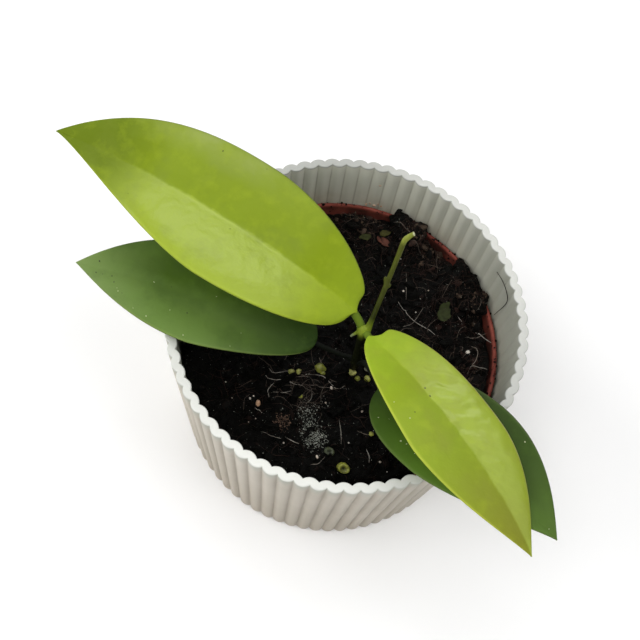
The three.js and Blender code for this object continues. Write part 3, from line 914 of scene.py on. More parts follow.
shell_green, tree, shader, place, cloud, tooth = new_material("shell_green", 900, 3500)
skin = banded(
    tree, stored(tree, "tone"),
    (0, "c4c27c"), (0.3, "9fa244"), (0.6, "6d722c"), (0.85, "8b8b78"), (1, "4a5240"),
)
skin = mixed(tree, ramped(tree, cloud, 0.25, 0.9, 0, 0.7), skin, "3c4018")
# The open shells' hollow is painted near black: painted shade
base = mixed(tree, stored(tree, "hollow"), skin, "14160c")
finish(tree, shader, base, ramped(tree, cloud, 0, 1, 0.2, 0.4), tooth, 0.0002)
settle(prill_shells, shell_green, "soil")

# Pale grains
# A crumb of grey-white fertiliser crystals, an orange-brown crumb of peat grains, white balls of
# perlite, and fine pale dust of both over the whole soil.
CRYSTAL_HEAPS = [((314.5, 439), 4, 430), ((310, 428), 3.6, 170), ((306, 414), 4, 110), ((318, 408), 4.5, 50)]
RUSTY_CRUMB = ((282.5, 421.5), 2.9, 150)
PINK_GRAIN = ((257.9, 403.6), 1.1)
PERLITE = [
    ((225.7, 382.1), 0.3), ((250, 398.6), 0.4), ((253.6, 396), 0.25), ((325.7, 402.9), 0.4),
    ((331.4, 387.9), 0.6), ((255.7, 418.6), 0.2), ((248.6, 422), 0.2), ((283.6, 443), 0.32),
    ((317.1, 457.1), 0.55), ((362.1, 411.4), 0.42), ((348.6, 442.9), 0.26), ((380, 462.1), 0.38),
    ((387, 472), 0.25), ((415.8, 312.5), 0.38), ((403.3, 291.3), 0.38), ((467.5, 352.5), 0.75),
    ((435, 284.2), 0.45), ((428.3, 290.8), 0.3), ((400.8, 259.2), 0.25), ((232, 398), 0.2),
]
TAN_CRUMBS = [
    ((366, 204.5), 0.55), ((370, 203.5), 0.4), ((374, 205.5), 0.6), ((378, 204.5), 0.45),
    ((381, 206.5), 0.4), ((372, 207.5), 0.35), ((380, 186), 0.4),
]
LIP_GRIT = 170
PALE_DUST = 1700


def heap_of_grains(rng, pixel, spread, amount, low, high, tone_low, tone_high):
    """Places, sizes and tones of grains in a heap round the place seen at a pixel."""
    centre = seen_at(into_the_pot, *pixel)
    made = []
    while len(made) < amount:
        x, y = rng.normal((centre.x, centre.y), spread / 2)
        place = soil_below(soil_surface, x, y)
        near = math.hypot(x - centre.x, y - centre.y) / spread
        if place is not None and near < 1.15:
            rise = rng.uniform(0, 1.1) * max(0, 1 - near)
            size = rng.uniform(low, high)
            made.append((np.array(place) + (0, 0, rise), size, rng.uniform(tone_low, tone_high)))
    return made


def grains(name, made, finer, seed):
    """One piece of many small uneven grains, each given by its place, size and tone."""
    rng = np.random.RandomState(seed)
    ball, faces = rounded_stone(finer)
    shapes = []
    for place, size, _ in made:
        if finer < 2:
            rough = 1 + 0.25 * rng.uniform(-1, 1, len(ball))
        else:
            rough = 1 + 0.15 * lumps(ball, 0.8, rng.randint(900))
        shape = ball * rough[:, None] * (1, rng.uniform(0.6, 1), rng.uniform(0.5, 1)) * size
        shapes.append(shape @ spun(rng).T + place)
    return heaped(name, shapes, [tone for _, _, tone in made], faces, flat=finer < 2)


rng = np.random.RandomState(33)
crystals = []
for heap in CRYSTAL_HEAPS:
    crystals += heap_of_grains(rng, *heap, 0.06, 0.24, 0.1, 1)
for _ in range(PALE_DUST):
    place = soil_spot(rng)
    place = soil_below(soil_surface, place.x, place.y)
    crystals.append((np.array(place), 0.07 + 0.15 * rng.uniform() ** 4, rng.uniform(0, 0.7)))
pale_crystals = grains("pale_crystals", crystals, 0, 34)
rusty_grains = grains("rusty_grains", heap_of_grains(rng, *RUSTY_CRUMB, 0.1, 0.28, 0, 0.8), 0, 35)
balls = []
for pixel, size in [*PERLITE, PINK_GRAIN, *TAN_CRUMBS]:
    place = seen_at(into_the_pot, *pixel)
    whiteness = rng.uniform(0.55, 0.95) if (pixel, size) in PERLITE else rng.uniform(0.1, 0.35)
    balls.append((np.array(place) + (0, 0, 0.4 * size), size, whiteness))
perlite_balls = grains("perlite_balls", balls, 2, 36)
on_lip = []
while len(on_lip) < LIP_GRIT:
    turn = rng.uniform(-0.6, 2.3)
    out = rng.uniform(NURSERY_RADIUS - 2.2, NURSERY_RADIUS)
    place = soil_below(into_the_pot, out * math.cos(turn), out * math.sin(turn))
    if place.z < NURSERY_TOP + 1:
        size = 0.12 + 0.4 * rng.uniform() ** 2
        on_lip.append((np.array(place) + (0, 0, 0.1), size, rng.uniform(0, 0.6)))
lip_grit = grains("lip_grit", on_lip, 1, 37)
settle(lip_grit, soil_dark, "soil")


def grain_material(name, dark, light, rough):
    """A finish for loose grains, between a dark tone and a light one."""
    material, tree, shader, _, cloud, tooth = new_material(name, 700, 3500)
    shade = sums(tree, "ADD", stored(tree, "tone"), ramped(tree, cloud, 0, 1, -0.15, 0.15))
    base = mixed(tree, shade, dark, light)
    finish(tree, shader, base, ramped(tree, cloud, 0, 1, rough, rough + 0.2), tooth, 0.0001)
    return material


settle(pale_crystals, grain_material("crystal_grey", "262822", "b4b8ac", 0.35), "soil")
settle(rusty_grains, grain_material("peat_rust", "20140f", "7d6250", 0.6), "soil")
settle(perlite_balls, grain_material("perlite_white", "a8805f", "cfcdc4", 0.5), "soil")

# Leaf scraps
# Dry scraps that have fallen on the soil: a curled green flake, an olive one, a flake of
# salmon-brown bark, and a grey-green plate. They lie loose.
SCRAP_CELLS = 24
SCRAP_THICKNESS = 0.16
SCRAP_SINK = 0.35
# Each scrap's pixel, length, width, heading, curl and tone
SCRAPS = [
    ((442, 317), 3.3, 2.2, 70, 1.0, 0.0),
    ((384, 235.5), 1.7, 1.3, 20, 0.4, 0.35),
    ((383.5, 243), 2.3, 1.5, -15, 0.3, 1.0),
    ((365, 239), 1.9, 1.2, 40, 0.3, 0.1),
]

rough_ground = sight_tree(soil_bed, soil_clods, soil_crumbs, soil_chips)
u, v, top_faces, edge = square_cells(SCRAP_CELLS)
around = np.arctan2(v, u)
below = u.size
scrap_faces = top_faces + [(below + a, below + d, below + c, below + b) for a, b, c, d in top_faces]
scrap_faces += band_faces(edge, [below + k for k in edge])
scraps = []
for number, (pixel, length, width, heading, curl, _) in enumerate(SCRAPS):
    centre = seen_at(into_the_pot, *pixel)
    a = math.radians(heading)
    ragged = 1 + 0.16 * np.sin(2 * around + number) + 0.1 * np.sin(3 * around + 2 * number)
    ragged = ragged + 0.05 * np.sin(7 * around)
    along = length * u * np.sqrt(1 - 0.5 * v ** 2) * ragged
    across = width * v * np.sqrt(1 - 0.5 * u ** 2) * ragged
    rise = curl * (along / length) ** 2 + 0.5 * curl * (across / width) ** 2
    rise = rise + 0.12 * np.sin(2.1 * along + 1.7 * across)
    x = centre.x + along * math.cos(a) - across * math.sin(a)
    y = centre.y + along * math.sin(a) + across * math.cos(a)
    tried = [(i, j) for i in range(0, SCRAP_CELLS + 1, 3) for j in range(0, SCRAP_CELLS + 1, 3)]
    seat = max(soil_below(rough_ground, x[at], y[at]).z - rise[at] for at in tried)
    height = seat - SCRAP_SINK + rise
    sides = [np.stack([x, y, height + face * SCRAP_THICKNESS / 2], -1).reshape(-1, 3) for face in (1, -1)]
    scraps.append((np.concatenate(sides), scrap_faces))
leaf_scraps = build_piece("leaf_scraps", *joined(scraps))
with_values(leaf_scraps, tone=np.repeat([tone for *_, tone in SCRAPS], 2 * u.size))

scrap_dry, tree, shader, place, cloud, tooth = new_material("scrap_dry", 500, 3000)
flake = banded(tree, stored(tree, "tone"), (0, "2a3018"), (0.35, "3a391a"), (0.65, "2c3022"), (1, "543229"))
base = mixed(tree, ramped(tree, cloud, 0.3, 1, 0, 0.6), flake, "17140e")
finish(tree, shader, base, ramped(tree, cloud, 0, 1, 0.6, 0.85), tooth, 0.0001, 0.12)
settle(leaf_scraps, scrap_dry, "soil")

# Stem
# The young green stem with two swollen joints, the leader that was cut off above the upper
# pair of leaves, two tiny buds on it, and a nub of aerial root. It grew from the soil in one.
STEM_SKIN = 0.16
STEM_SIDES = 20
# Each part is points with the radius there: stem, leader, its two buds, root nub, sleeping bud
STEM_PARTS = [
    [
        (6.4, -7.2, 38, 1.4), (6.3, -7.6, 50, 1.4), (6.15, -8.3, 58, 1.55), (6.1, -8.4, 60, 1.95),
        (6.0, -8.5, 62.5, 1.5), (5.7, -9.1, 72, 1.35), (5.3, -9.9, 83, 1.35), (5.2, -10, 86, 1.85),
        (5.4, -9.95, 87.6, 1.35), (5.6, -9.9, 88.4, 0.6),
    ],
    [
        (6.0, -9.9, 85.6, 1.4), (6.3, -9.7, 86.8, 1.15), (6.7, -7.9, 91, 0.76), (7.2, -5.3, 96.8, 0.7),
        (7.7, -2.6, 102.5, 0.74), (8.0, -0.9, 106.5, 0.68), (8.4, 1.5, 112.2, 0.7), (8.7, 3.4, 116.8, 0.76),
        (9.3, 4.2, 117.9, 0.74), (10.1, 4.85, 118.6, 0.64), (10.75, 5.35, 119.05, 0.6),
    ],
    [(7.5, -2.3, 102.9, 0.6), (7.1, -1.7, 103.8, 0.55), (6.75, -1.3, 104.7, 0.28)],
    [(7.9, -2.7, 102, 0.6), (8.45, -2.45, 102.4, 0.5), (8.8, -2.2, 103, 0.25)],
    [
        (4.4, -10.3, 85.9, 0.95), (3.6, -10.8, 85.5, 0.55), (2.9, -11.4, 85.1, 0.42),
        (2.2, -11.95, 84.55, 0.34),
    ],
    [(6.2, -9.6, 74.6, 0.7), (6.7, -10.1, 75.4, 0.8), (6.9, -10.4, 76.6, 0.35)],
]
LEADER_CUT = Vector((10.6, 5.3, 118.95))
LEADER_CUT_FACING = Vector((0.75, 0.25, 0.6)).normalized()
LEADER_CUT_REACH = 2
LEADER_FOOT = 88
ROOT_NUB_TIP = (2.2, -11.95, 84.55)
ROOT_NUB_REACH = 1.6

stem_lines = [curve_through(part, 6) for part in STEM_PARTS]
stem_shapes = [strand(line[:, :3], line[:, 3], STEM_SIDES) for line in stem_lines]
stem = build_piece("stem_and_leader", *joined(stem_shapes))
skin = stem.modifiers.new("skin", "REMESH")
skin.mode = "VOXEL"
skin.voxel_size = STEM_SKIN * MM
soft = stem.modifiers.new("soft", "SMOOTH")
soft.factor = 0.5
soft.iterations = 5
made_solid(stem)
for vertex in stem.data.vertices:
    beyond = (vertex.co / MM - LEADER_CUT).dot(LEADER_CUT_FACING)
    if beyond > 0 and (vertex.co / MM - LEADER_CUT).length < LEADER_CUT_REACH:
        vertex.co -= LEADER_CUT_FACING * beyond * MM
stem.data.shade_smooth()
points = np.array([tuple(vertex.co) for vertex in stem.data.vertices]) / MM
from_cut = points - np.array(LEADER_CUT)
near_cut = np.linalg.norm(from_cut, axis=1) < LEADER_CUT_REACH
with_values(
    stem,
    leader=np.clip((points[:, 2] - LEADER_FOOT) / 4, 0, 1),
    cut=near_cut * np.clip((from_cut @ np.array(LEADER_CUT_FACING) + 0.16) / 0.1, 0, 1),
    nub=np.clip(ROOT_NUB_REACH - np.linalg.norm(points - ROOT_NUB_TIP, axis=1), 0, 1),
)

stem_green, tree, shader, place, cloud, tooth = new_material("stem_green", 420, 2600)
height_up = above_table(tree, place)
# The lower stem is painted near black and the leader darker at its foot, lighter upward: painted shade under
# the leaves. Just under the cut the leader turns a lighter yellow-green
lower = mixed(tree, ramped(tree, height_up, 0.056, 0.064), "14120c", "161a0a")
lower = mixed(tree, ramped(tree, height_up, 0.081, 0.087), lower, "7e9026")
leader = mixed(tree, ramped(tree, height_up, 0.090, 0.114), "262c0c", "565c1a")
leader = mixed(tree, ramped(tree, height_up, 0.1163, 0.1174), leader, "828a35")
green = mixed(tree, stored(tree, "leader"), lower, leader)
green = mixed(tree, product(tree, cloud, 0.35), green, "23260f")
green = mixed(tree, stored(tree, "nub"), green, "707858")
base = mixed(tree, stored(tree, "cut"), green, "b9bb8e")
finish(tree, shader, base, ramped(tree, cloud, 0, 1, 0.45, 0.65), cloud, 0.00008, 0.2)
settle(stem, stem_green, "stem", "stem")

# Leaves
# Four thick smooth blades, folded along the middle and drawn out to a point: a young lime pair
# on the upper joint and an older green pair below. Each grew on a short stalk from its joint.
LEAF_THICKNESS = 1.5
LEAF_EDGE = 0.9
LEAF_TIP_THICKNESS = 0.65
LEAF_TIP_SWELL = 0.25
LEAF_PUFF = 0.03
LEAF_ROLL_START = 0.6
LEAF_LOBE_START = 2.5
LEAF_LOBE_REACH = 6.5
LEAF_LOBE_LENGTH = 6
LEAF_NECK = 2.4
LEAF_NECK_LENGTH = 4
LEAF_NARROWEST = 0.06
LEAF_STATIONS = 170
LEAF_COLUMNS = 60
MIDRIB_STEPS = 240
RIB_STEPS = 40
STALK_SIDES = 14


def half_width(t, width, widest, base, tip, sharp):
    """Half the width of one side of a blade: widest, roundness of the base, fullness, sharpness."""
    near = width * np.sqrt(np.clip(1 - (np.clip(widest - t, 0, 1) / widest) ** base, 0, 1))
    far = width * np.clip(1 - (np.clip(t - widest, 0, 1) / (1 - widest)) ** tip, 0, 1) ** sharp
    return np.where(t < widest, near, far)


class Leaf:
    """The shape of one blade: its midrib, and the surface on both sides of it."""

    def __init__(
        self, base, heading, sweep, pitch, droop, length, left, right, fold, roll, twist, curl, lobe, neck,
        crease,
    ):
        self.heading, self.sweep = heading, sweep
        self.pitch, self.droop = pitch, droop
        self.roll, self.twist = roll, twist
        self.left, self.right = left, right
        self.curl, self.lobe, self.neck, self.crease = curl, lobe, neck, crease
        self.length, self.fold = length, math.radians(fold)
        middles = (np.arange(MIDRIB_STEPS) + 0.5) / MIDRIB_STEPS
        steps = self.direction(middles) * length / MIDRIB_STEPS
        self.rib = np.concatenate([[base], base + np.cumsum(steps, axis=0)])

    def direction(self, t):
        """Which way the midrib runs, at a share of its length."""
        yaw = np.radians(self.heading + self.sweep * (t - 0.5))
        pitch = np.radians(self.pitch - self.droop * t)
        return np.stack([np.cos(pitch) * np.cos(yaw), np.cos(pitch) * np.sin(yaw), np.sin(pitch)], -1)

    def frame_at(self, t):
        """Along the midrib, across it to the left, and up from the blade."""
        along = self.direction(t)
        level = np.stack([-along[..., 1], along[..., 0], 0 * t], -1)
        level /= np.linalg.norm(level, axis=-1)[..., None]
        roll = np.radians(self.roll + self.twist * (t - 0.5))[..., None]
        up = np.cross(along, level)
        return along, level * np.cos(roll) + up * np.sin(roll), up * np.cos(roll) - level * np.sin(roll)

    def rib_at(self, t):
        """A place on the midrib, at a share of its length."""
        at = np.arange(MIDRIB_STEPS + 1) / MIDRIB_STEPS
        return np.stack([np.interp(t, at, self.rib[:, k]) for k in range(3)], -1)

    def surface(self, t, column, face, relief):
        """Points of the blade. A column runs from -1 at the right edge to 1 at the left one."""
        along_rib, across, normal = self.frame_at(t)
        width = np.where(column > 0, half_width(t, *self.left), half_width(t, *self.right))
        width = np.maximum(width, LEAF_NARROWEST)
        reach = np.abs(column)
        creased = (np.hypot(reach, self.crease) - self.crease) / (math.hypot(1, self.crease) - self.crease)
        puff = LEAF_PUFF * width * np.sin(math.pi * reach)
        full = LEAF_EDGE + (LEAF_THICKNESS - LEAF_EDGE) * (1 - reach)
        thick = np.minimum(full, LEAF_TIP_THICKNESS + LEAF_TIP_SWELL * width) * np.sqrt(1 - reach ** 12)
        out = width * column * math.cos(self.fold)
        rise = width * creased * math.sin(self.fold) + puff + face * thick / 2
        rise = rise + relief(t * self.length, width * column) * (1 - reach ** 4)
        rolled = np.clip((reach - LEAF_ROLL_START) / (1 - LEAF_ROLL_START), 0, 1) ** 2
        rise = rise - np.where(column > 0, self.curl[0], self.curl[1]) * rolled * np.minimum(1, width / 10)
        lobed = np.clip((np.abs(out) - LEAF_LOBE_START) / (LEAF_LOBE_REACH - LEAF_LOBE_START), 0, 1)
        lobed = lobed * lobed * (3 - 2 * lobed) * np.exp(-(t * self.length / LEAF_LOBE_LENGTH) ** 2)
        back = np.where(column > 0, self.lobe[0], self.lobe[1]) * lobed
        drawn_in = np.abs(out) / LEAF_NECK * np.exp(1 - np.abs(out) / LEAF_NECK)
        drawn_in = drawn_in * np.exp(-(t * self.length / LEAF_NECK_LENGTH) ** 2)
        back = back - np.where(column > 0, self.neck[0], self.neck[1]) * drawn_in
        place = self.rib_at(t) + across * out[..., None] + normal * rise[..., None]
        place = place - along_rib * back[..., None]
        return place, width * column


def build_leaf(name, leaf, relief, stalk, stalk_radius):
    """A closed blade with a rounded edge, and its stalk, which runs on below it as the midrib."""
    t = 0.5 - 0.5 * np.cos(math.pi * np.arange(LEAF_STATIONS + 1) / LEAF_STATIONS)
    side = np.sin(np.linspace(-math.pi / 2, math.pi / 2, LEAF_COLUMNS + 1))
    side = 0.45 * side + 0.55 * np.linspace(-1, 1, LEAF_COLUMNS + 1)
    t_grid, side_grid = np.meshgrid(t, side, indexing="ij")
    upper, lateral = leaf.surface(t_grid, side_grid, 1, relief)
    lower, _ = leaf.surface(t_grid, side_grid, -1, relief)
    row = LEAF_COLUMNS + 1
    below = t_grid.size

    def under(i, j):
        """The point under one of the upper side. Along the two edges it is the same point."""
        return i * row + j + (0 if j in (0, LEAF_COLUMNS) else below)

    faces = []
    for i in range(LEAF_STATIONS):
        for j in range(LEAF_COLUMNS):
            a, b = i * row + j, (i + 1) * row + j
            faces.append((a, b, b + 1, a + 1))
            faces.append((under(i, j), under(i, j + 1), under(i + 1, j + 1), under(i + 1, j)))
    for i, order in ((0, 1), (LEAF_STATIONS, -1)):
        for j in range(LEAF_COLUMNS):
            ring = dict.fromkeys((i * row + j, i * row + j + 1, under(i, j + 1), under(i, j)))
            faces.append(tuple(ring)[::order])
    rib_t = np.linspace(0.01, 0.93, RIB_STEPS)
    _, _, rib_normal = leaf.frame_at(rib_t)
    depth = 0.62 - 0.35 * rib_t + 0.35 * np.exp(-rib_t * 25)
    rib = leaf.rib_at(rib_t) - rib_normal * depth[:, None]
    stalk_line = curve_through(np.concatenate([stalk, rib[:1]]), 8)[:-1]
    radii = stalk_radius * np.concatenate([
        np.interp(np.linspace(0, 1, len(stalk_line)), [0, 0.3, 1], [1.25, 1.0, 0.95]),
        (0.18 + 0.77 * np.exp(-rib_t * 14)) * (1 - 0.35 * rib_t),
    ])
    stations = np.concatenate([np.full(len(stalk_line), -4.0), rib_t * leaf.length])
    stations = np.concatenate([np.repeat(stations, STALK_SIDES), stations[[0, -1]]])
    blade = np.concatenate([upper, lower]).reshape(-1, 3)
    rod = strand(np.concatenate([stalk_line, rib]), radii, STALK_SIDES)
    piece = build_piece(name, *joined([(blade, faces), rod]))
    with_values(
        piece,
        along=np.concatenate([*2 * [(t_grid * leaf.length).ravel()], stations]),
        across=np.concatenate([*2 * [lateral.ravel()], 0 * stations]),
        under=np.concatenate([np.zeros(below), np.ones(below), np.clip(stations, 0.5, 1)]),
        edge=np.concatenate([*2 * [np.abs(side_grid).ravel()], 0 * stations]),
    )
    return piece


def ribbed(seed, rise, spacing, slant, puckers, wrinkles=0.0, drawn_out=0.35, middle=24, spread=17):
    """A leaf's relief: soft swellings between side veins that slant to the tip, and crinkles on a stretch."""
    def relief(along, across):
        place = np.stack([along, across, 0 * along], -1)
        wander = 1.6 * lumps(place, 9, seed)
        phase = (along - slant * np.abs(across) + wander) / spacing + 0.37 * (across > 0)
        band = np.cos(2 * math.pi * phase) * np.clip(np.abs(across) / 3, 0, 1)
        level = rise * band + puckers * lumps(place, 5.5, seed + 1)
        level = level + 0.45 * puckers * lumps(place, 2.3, seed + 2)
        drawn = np.stack([along - 0.8 * np.abs(across), drawn_out * across, 0 * along], -1)
        drawn = drawn + 1.4 * np.stack([lumps(place, 3.3, seed + k) for k in (5, 6, 7)], -1)
        crinkled = np.exp(-((along - middle) / spread) ** 2) * np.clip(across / 1.5, 0, 1)
        creases = lumps(drawn, 2.2, seed + 3) + 0.45 * lumps(drawn, 1.2, seed + 4)
        return level + wrinkles * creases * crinkled
    return relief


lime_left = Leaf(
    base=(2.2, -6.5, 89), heading=165.8, sweep=9.5, pitch=16, droop=18.9, length=100.7,
    left=(20.5, 0.43, 1.92, 1.62, 1.2), right=(19.3, 0.4, 1.66, 2.75, 0.99),
    fold=17.3, roll=-6.6, twist=-0.8, curl=(0.9, 0.2), lobe=(0, 1), neck=(1, 1), crease=0.018,
)
lime_right = Leaf(
    base=(7.2, -11.9, 88), heading=-40.2, sweep=-19.7, pitch=6.8, droop=17.5, length=73,
    left=(12.1, 0.56, 3.3, 1.86, 1.15), right=(15.1, 0.46, 1.3, 1.91, 1.1),
    fold=8, roll=-9, twist=-3.1, curl=(0.35, 0.2), lobe=(1.4, 0), neck=(1.5, 0), crease=0.018,
)
green_left = Leaf(
    base=(-7.2, -10, 69), heading=180.6, sweep=2.2, pitch=17.1, droop=17.8, length=74.8,
    left=(15.1, 0.485, 1.4, 1.92, 1.05), right=(16.5, 0.45, 2.1, 2.42, 1),
    fold=8.8, roll=-1.8, twist=-3.2, curl=(0.3, 0.3), lobe=(0, 0), neck=(0, 0), crease=0.16,
)
green_right = Leaf(
    base=(14.9, -18.7, 69.1), heading=-32, sweep=-5.7, pitch=19.7, droop=12, length=65.4,
    left=(18, 0.45, 2.1, 2.15, 1.04), right=(15.4, 0.39, 2.42, 1.64, 1.14),
    fold=10.3, roll=-2.1, twist=1.4, curl=(0.3, 0.3), lobe=(0, 0), neck=(0, 0), crease=0.1,
)
lime_leaf_left = build_leaf(
    "lime_blade_left", lime_left,
    ribbed(31, 0.012, 6.2, 0.55, 0.1, wrinkles=0.085, drawn_out=0.9, middle=36, spread=25),
    [(5.0, -9.7, 86), (3.6, -8.4, 87.8)], 1.25,
)
lime_leaf_right = build_leaf(
    "lime_blade_right", lime_right,
    ribbed(41, 0.02, 5.4, 0.75, 0.1, wrinkles=0.46, drawn_out=0.45, middle=29, spread=22),
    [(5.6, -10.2, 86), (6.4, -11.1, 87.1)], 1.1,
)
green_leaf_left = build_leaf(
    "green_blade_left", green_left, ribbed(51, 0.01, 6, 0.6, 0.05),
    [(5.4, -8.5, 60.5), (-0.6, -9.5, 64.2)], 0.8,
)
green_leaf_right = build_leaf(
    "green_blade_right", green_right, ribbed(61, 0.01, 6, 0.6, 0.05),
    [(6.8, -9.0, 60.5), (9.6, -11.4, 65.6)], 0.9,
)


def leaf_skin(
    name, right, left, blend, foot, foot_end, tip, tip_left, tip_start, tip_reach, spots, painted_sheen, margins,
    rough, dull, dull_tip, relief, stalk, shine,
):
    """The skin of a leaf: each half has its tone and gloss, the foot, tip and margins theirs, all mottled,
    and a painted sheen toward the right half's margin.
    """
    material, tree, shader, place, cloud, tooth = new_material(name, 95, 1900)
    patch, _ = grained(tree, place, 210, 3000)
    along, across, edge = [stored(tree, value) for value in ("along", "across", "edge")]
    half = ramped(tree, sums(tree, "ADD", across, ramped(tree, patch, 0, 1, -0.4, 0.4)), -blend, blend)
    near_tip = ramped(tree, along, tip_start, tip_start + tip_reach)
    skin = mixed(tree, half, right, left)
    skin = mixed(tree, ramped(tree, along, foot_end, 0), skin, foot)
    skin = mixed(tree, product(tree, near_tip, ramped(tree, half, 0, 1, 1, tip_left)), skin, tip)
    skin = mixed(tree, ramped(tree, cloud, 0.45, 1, 0, 0.42), skin, spots[0])
    skin = mixed(tree, ramped(tree, patch, 0.5, 1, 0, 0.25), skin, spots[1])
    # A painted sheen toward the margin of the right half, away from the foot and the tip
    sheen_mask = product(tree, ramped(tree, edge, 0.5, 0.95), sums(tree, "SUBTRACT", 1.0, half))
    sheen_mask = product(tree, sheen_mask, ramped(tree, cloud, 0.2, 0.8, 0.25, 0.7))
    sheen_mask = product(tree, sheen_mask, ramped(tree, along, tip_start + tip_reach, tip_start))
    sheen_mask = product(tree, sheen_mask, ramped(tree, along, 26, 46))
    skin = mixed(tree, sheen_mask, skin, painted_sheen)
    skin = mixed(tree, ramped(tree, edge, 0.94, 0.99, 0, 0.5), skin, mixed(tree, half, *margins))
    skin = mixed(tree, stored(tree, "under"), skin, mixed(tree, cloud, "6f8232", "7b8c3e"))
    base = mixed(tree, ramped(tree, along, -1, -3), skin, stalk)
    dulled = sums(tree, "MAXIMUM", ramped(tree, along, 24, 9), product(tree, near_tip, dull_tip))
    roughness = sums(tree, "ADD", ramped(tree, half, 0, 1, *rough), product(tree, patch, 0.06))
    roughness = sums(tree, "ADD", roughness, product(tree, dulled, dull))
    slanted = sums(tree, "SUBTRACT", along, product(tree, sums(tree, "ABSOLUTE", across), 0.8))
    drawn_out = node(tree, "ShaderNodeCombineXYZ", {0: slanted, 1: product(tree, across, 0.5)}).outputs[0]
    streaks, puckers = [
        node(tree, "ShaderNodeTexNoise", {"Vector": at, "Scale": scale, "Detail": 2.0, "Roughness": 0.5})
        for at, scale in ((drawn_out, 0.36), (place, 420.0))
    ]
    height = product(tree, puckers.outputs["Fac"], relief[0])
    height = sums(tree, "ADD", product(tree, tooth, 0.012), height)
    drawn = product(tree, streaks.outputs["Fac"], relief[1])
    drawn = product(tree, drawn, ramped(tree, along, 60, 26, 0.3, 1))
    height = sums(tree, "ADD", height, product(tree, drawn, half))
    finish(tree, shader, base, roughness, height, 0.001, shine)
    return material


LIME = {"stalk": "566a14", "shine": 0.42, "blend": 0.4}
# The green leaves' stalks are painted near black: painted shade under the leaves
GREEN = {"stalk": "0d110a", "shine": 0.26, "blend": 3.5}
# Lime left leaf: the right half is painted darker and the left half lighter, partly the leaf's own tone and
# partly painted light
settle(lime_leaf_left, leaf_skin(
    "lime_skin_left", right="788b10", left="8ea024", foot="82961a", foot_end=16,
    tip="60720c", tip_left=1, tip_start=67, tip_reach=16,
    spots=("6c7c24", "98aa24"), painted_sheen="8f9c50", margins=("6c7a28", "a2b42e"),
    rough=(0.74, 0.32), dull=0.66, dull_tip=1, relief=(0.2, 0.07), **LIME,
), "lime_leaf", "lime_leaf_left")
settle(lime_leaf_right, leaf_skin(
    "lime_skin_right", right="82961a", left="8b9c2c", foot="86a01c", foot_end=20,
    tip="7a7e1c", tip_left=0.3, tip_start=38, tip_reach=28,
    spots=("80862c", "9cae2a"), painted_sheen="84961c", margins=("c0c84c", "a8984a"),
    rough=(0.76, 0.3), dull=0.58, dull_tip=0.2, relief=(0.14, 0.16), **LIME,
), "lime_leaf", "lime_leaf_right")
# Green left leaf: the right half and the foot are painted darker as the shade of the lime leaf above, partly
# the leaf's own darker base; the greyish tip is a painted sheen
settle(green_leaf_left, leaf_skin(
    "green_skin_left", right="425c12", left="5d7734", foot="223808", foot_end=34,
    tip="6a8044", tip_left=1, tip_start=48, tip_reach=26,
    spots=("3c5220", "5c7a30"), painted_sheen="4a6424", margins=("4a5c28", "7a8c48"),
    rough=(0.72, 0.5), dull=0.15, dull_tip=0, relief=(0.1, 0.05), **GREEN,
), "green_leaf", "green_leaf_left")
# Green right leaf: the left half and the foot are painted dark, as painted shade under the lime leaf
settle(green_leaf_right, leaf_skin(
    "green_skin_right", right="50701e", left="2f4410", foot="2a4009", foot_end=26,
    tip="4d6626", tip_left=1, tip_start=44, tip_reach=26,
    spots=("33480f", "48641e"), painted_sheen="5c7634", margins=("62743a", "56663a"),
    rough=(0.62, 0.68), dull=0.1, dull_tip=0, relief=(0.08, 0.05), **GREEN,
), "green_leaf", "green_leaf_right")

# Specks and a hair
# Dry soil dust on the leaves, pale and dark, and a dark hair that clings to the pot's wall.
# All of them are given by their pixels in the picture.
DARK_SPECKS = [
    (128, 193.5), (230, 229), (223, 151), (267, 169), (425, 388), (430, 396), (114, 282), (99.5, 261),
    (96, 272.5), (122, 293), (171.5, 287), (187, 313), (102.5, 274), (112, 276), (157, 243), (415, 412),
]
PALE_SPECKS = [
    (389, 419), (401, 441), (410, 418), (118, 291), (170, 310), (216.5, 296.5), (146, 316), (117, 288),
    (154, 282), (183, 335), (241, 333), (230, 346), (394, 402), (378.5, 417.5), (400, 441), (414.5, 453.5),
    (406.5, 444), (549, 529), (525, 442), (133, 308),
]
HAIR_GAP = 0.15
WALL_HAIR = [(497, 272), (502, 280), (506, 290), (507.5, 300), (504, 306), (498.5, 311), (494, 315)]

leaf_tops = sight_tree(lime_leaf_left, lime_leaf_right, green_leaf_left, green_leaf_right)
rng = np.random.RandomState(71)
dust = []
for pixels, tone in ((DARK_SPECKS, 0.0), (PALE_SPECKS, 1.0)):
    for pixel in pixels:
        place = seen_at(leaf_tops, *pixel)
        if place is not None:
            dust.append((np.array(place), rng.uniform(0.1, 0.24), tone))
leaf_specks = grains("leaf_specks", dust, 1, 72)
settle(leaf_specks, grain_material("dry_dust", "17140c", "c4c8a0", 0.6), "soil")


def wall_radius(height):
    """How far from the pot's axis the inner ribs stand at a height."""
    return (INNER_GROOVE_RADIUS - inner_depth(height)) * pot_share(height)


hair_line = []
for pixel in WALL_HAIR:
    place = seen_at(into_the_pot, *pixel)
    toward_eye = (CAMERA_PLACE - place).normalized()
    while math.hypot(place.x, place.y) > wall_radius(place.z) - HAIR_GAP:
        place = place + 0.1 * toward_eye
    hair_line.append(np.array(place))
wall_hair = strands("wall_hair", [curve_through(hair_line, 6)], [0.13], [0.1], 6)
settle(wall_hair, fibre_brown, "soil")

# The table and the light
# A plain pale surface that glows more the further out it lies, so that it fades into a pale
# distance, with soft daylight from a large window on the left and broad lights above.
FLOOR_HALF = 3000
LAMP_SIDE = 750
LAMP_AIM = Vector((0, 0, 60))

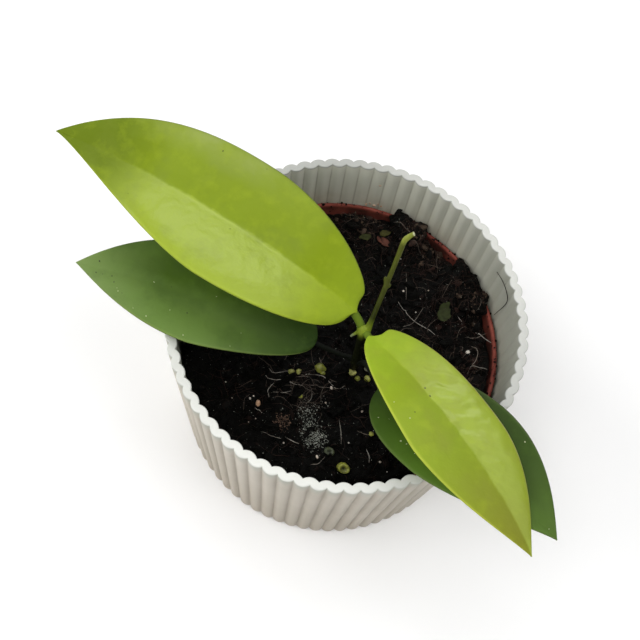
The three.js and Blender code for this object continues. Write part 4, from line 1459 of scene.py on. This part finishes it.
corners = [(FLOOR_HALF * x, FLOOR_HALF * y, 0) for x, y in ((-1, -1), (1, -1), (1, 1), (-1, 1))]
floor = build_piece("floor", corners, [(0, 1, 2, 3)])
floor_pale, tree, shader, place, cloud, _ = new_material("floor_pale", 3, 300)
tree.links.new(mixed(tree, cloud, "f8f8f8", "fbfbfb"), shader.inputs["Base Color"])
shader.inputs["Roughness"].default_value = 0.8
distance = node(tree, "ShaderNodeVectorMath", {0: place}, operation="LENGTH").outputs["Value"]
# The floor glows more the further out it lies: a painted glow
far_glow = mixed(tree, ramped(tree, distance, 0.5, 2.2), "000000", "fafafa")
tree.links.new(far_glow, shader.inputs["Emission Color"])
shader.inputs["Emission Strength"].default_value = 1
floor.data.materials.append(floor_pale)


def soft_light(name, place, power, lights=True, mirrored=False):
    """A broad square lamp aimed at the plant. It lights surfaces, or shows as their gloss, or both."""
    light = bpy.data.lights.new(name, "AREA")
    light.size = LAMP_SIDE * MM
    light.energy = power
    lamp = bpy.data.objects.new(name, light)
    lamp.location = Vector(place) * MM
    lamp.rotation_euler = (LAMP_AIM - Vector(place)).to_track_quat("-Z", "Y").to_euler()
    lamp.visible_diffuse = lights
    lamp.visible_glossy = mirrored
    bpy.context.scene.collection.objects.link(lamp)


soft_light("light_left", (-1040, 0, 660), 6.2, mirrored=True)
soft_light("light_front_left", (-300, -520, 1100), 7.7)
soft_light("light_back_left", (-300, 520, 1100), 4.6)
soft_light("light_right", (600, 0, 1100), 6.5)
soft_light("gloss_back", (107, 764, 980), 5.6, lights=False, mirrored=True)
soft_light("gloss_front", (300, -520, 1100), 3, lights=False, mirrored=True)
soft_light("gloss_above", (0, 0, 1260), 1.8, lights=False, mirrored=True)
world = bpy.data.worlds.new("daylight")
world.use_nodes = True
air = world.node_tree.nodes["Background"]
air.inputs["Color"].default_value = (1, 1, 1, 1)
ray = node(world.node_tree, "ShaderNodeLightPath")
seen = ramped(world.node_tree, ray.outputs["Is Camera Ray"], 0, 1, 0.04, 0.95)
filled = ramped(world.node_tree, ray.outputs["Is Diffuse Ray"], 0, 1, 0, 0.03)
world.node_tree.links.new(sums(world.node_tree, "ADD", seen, filled), air.inputs["Strength"])
bpy.context.scene.world = world
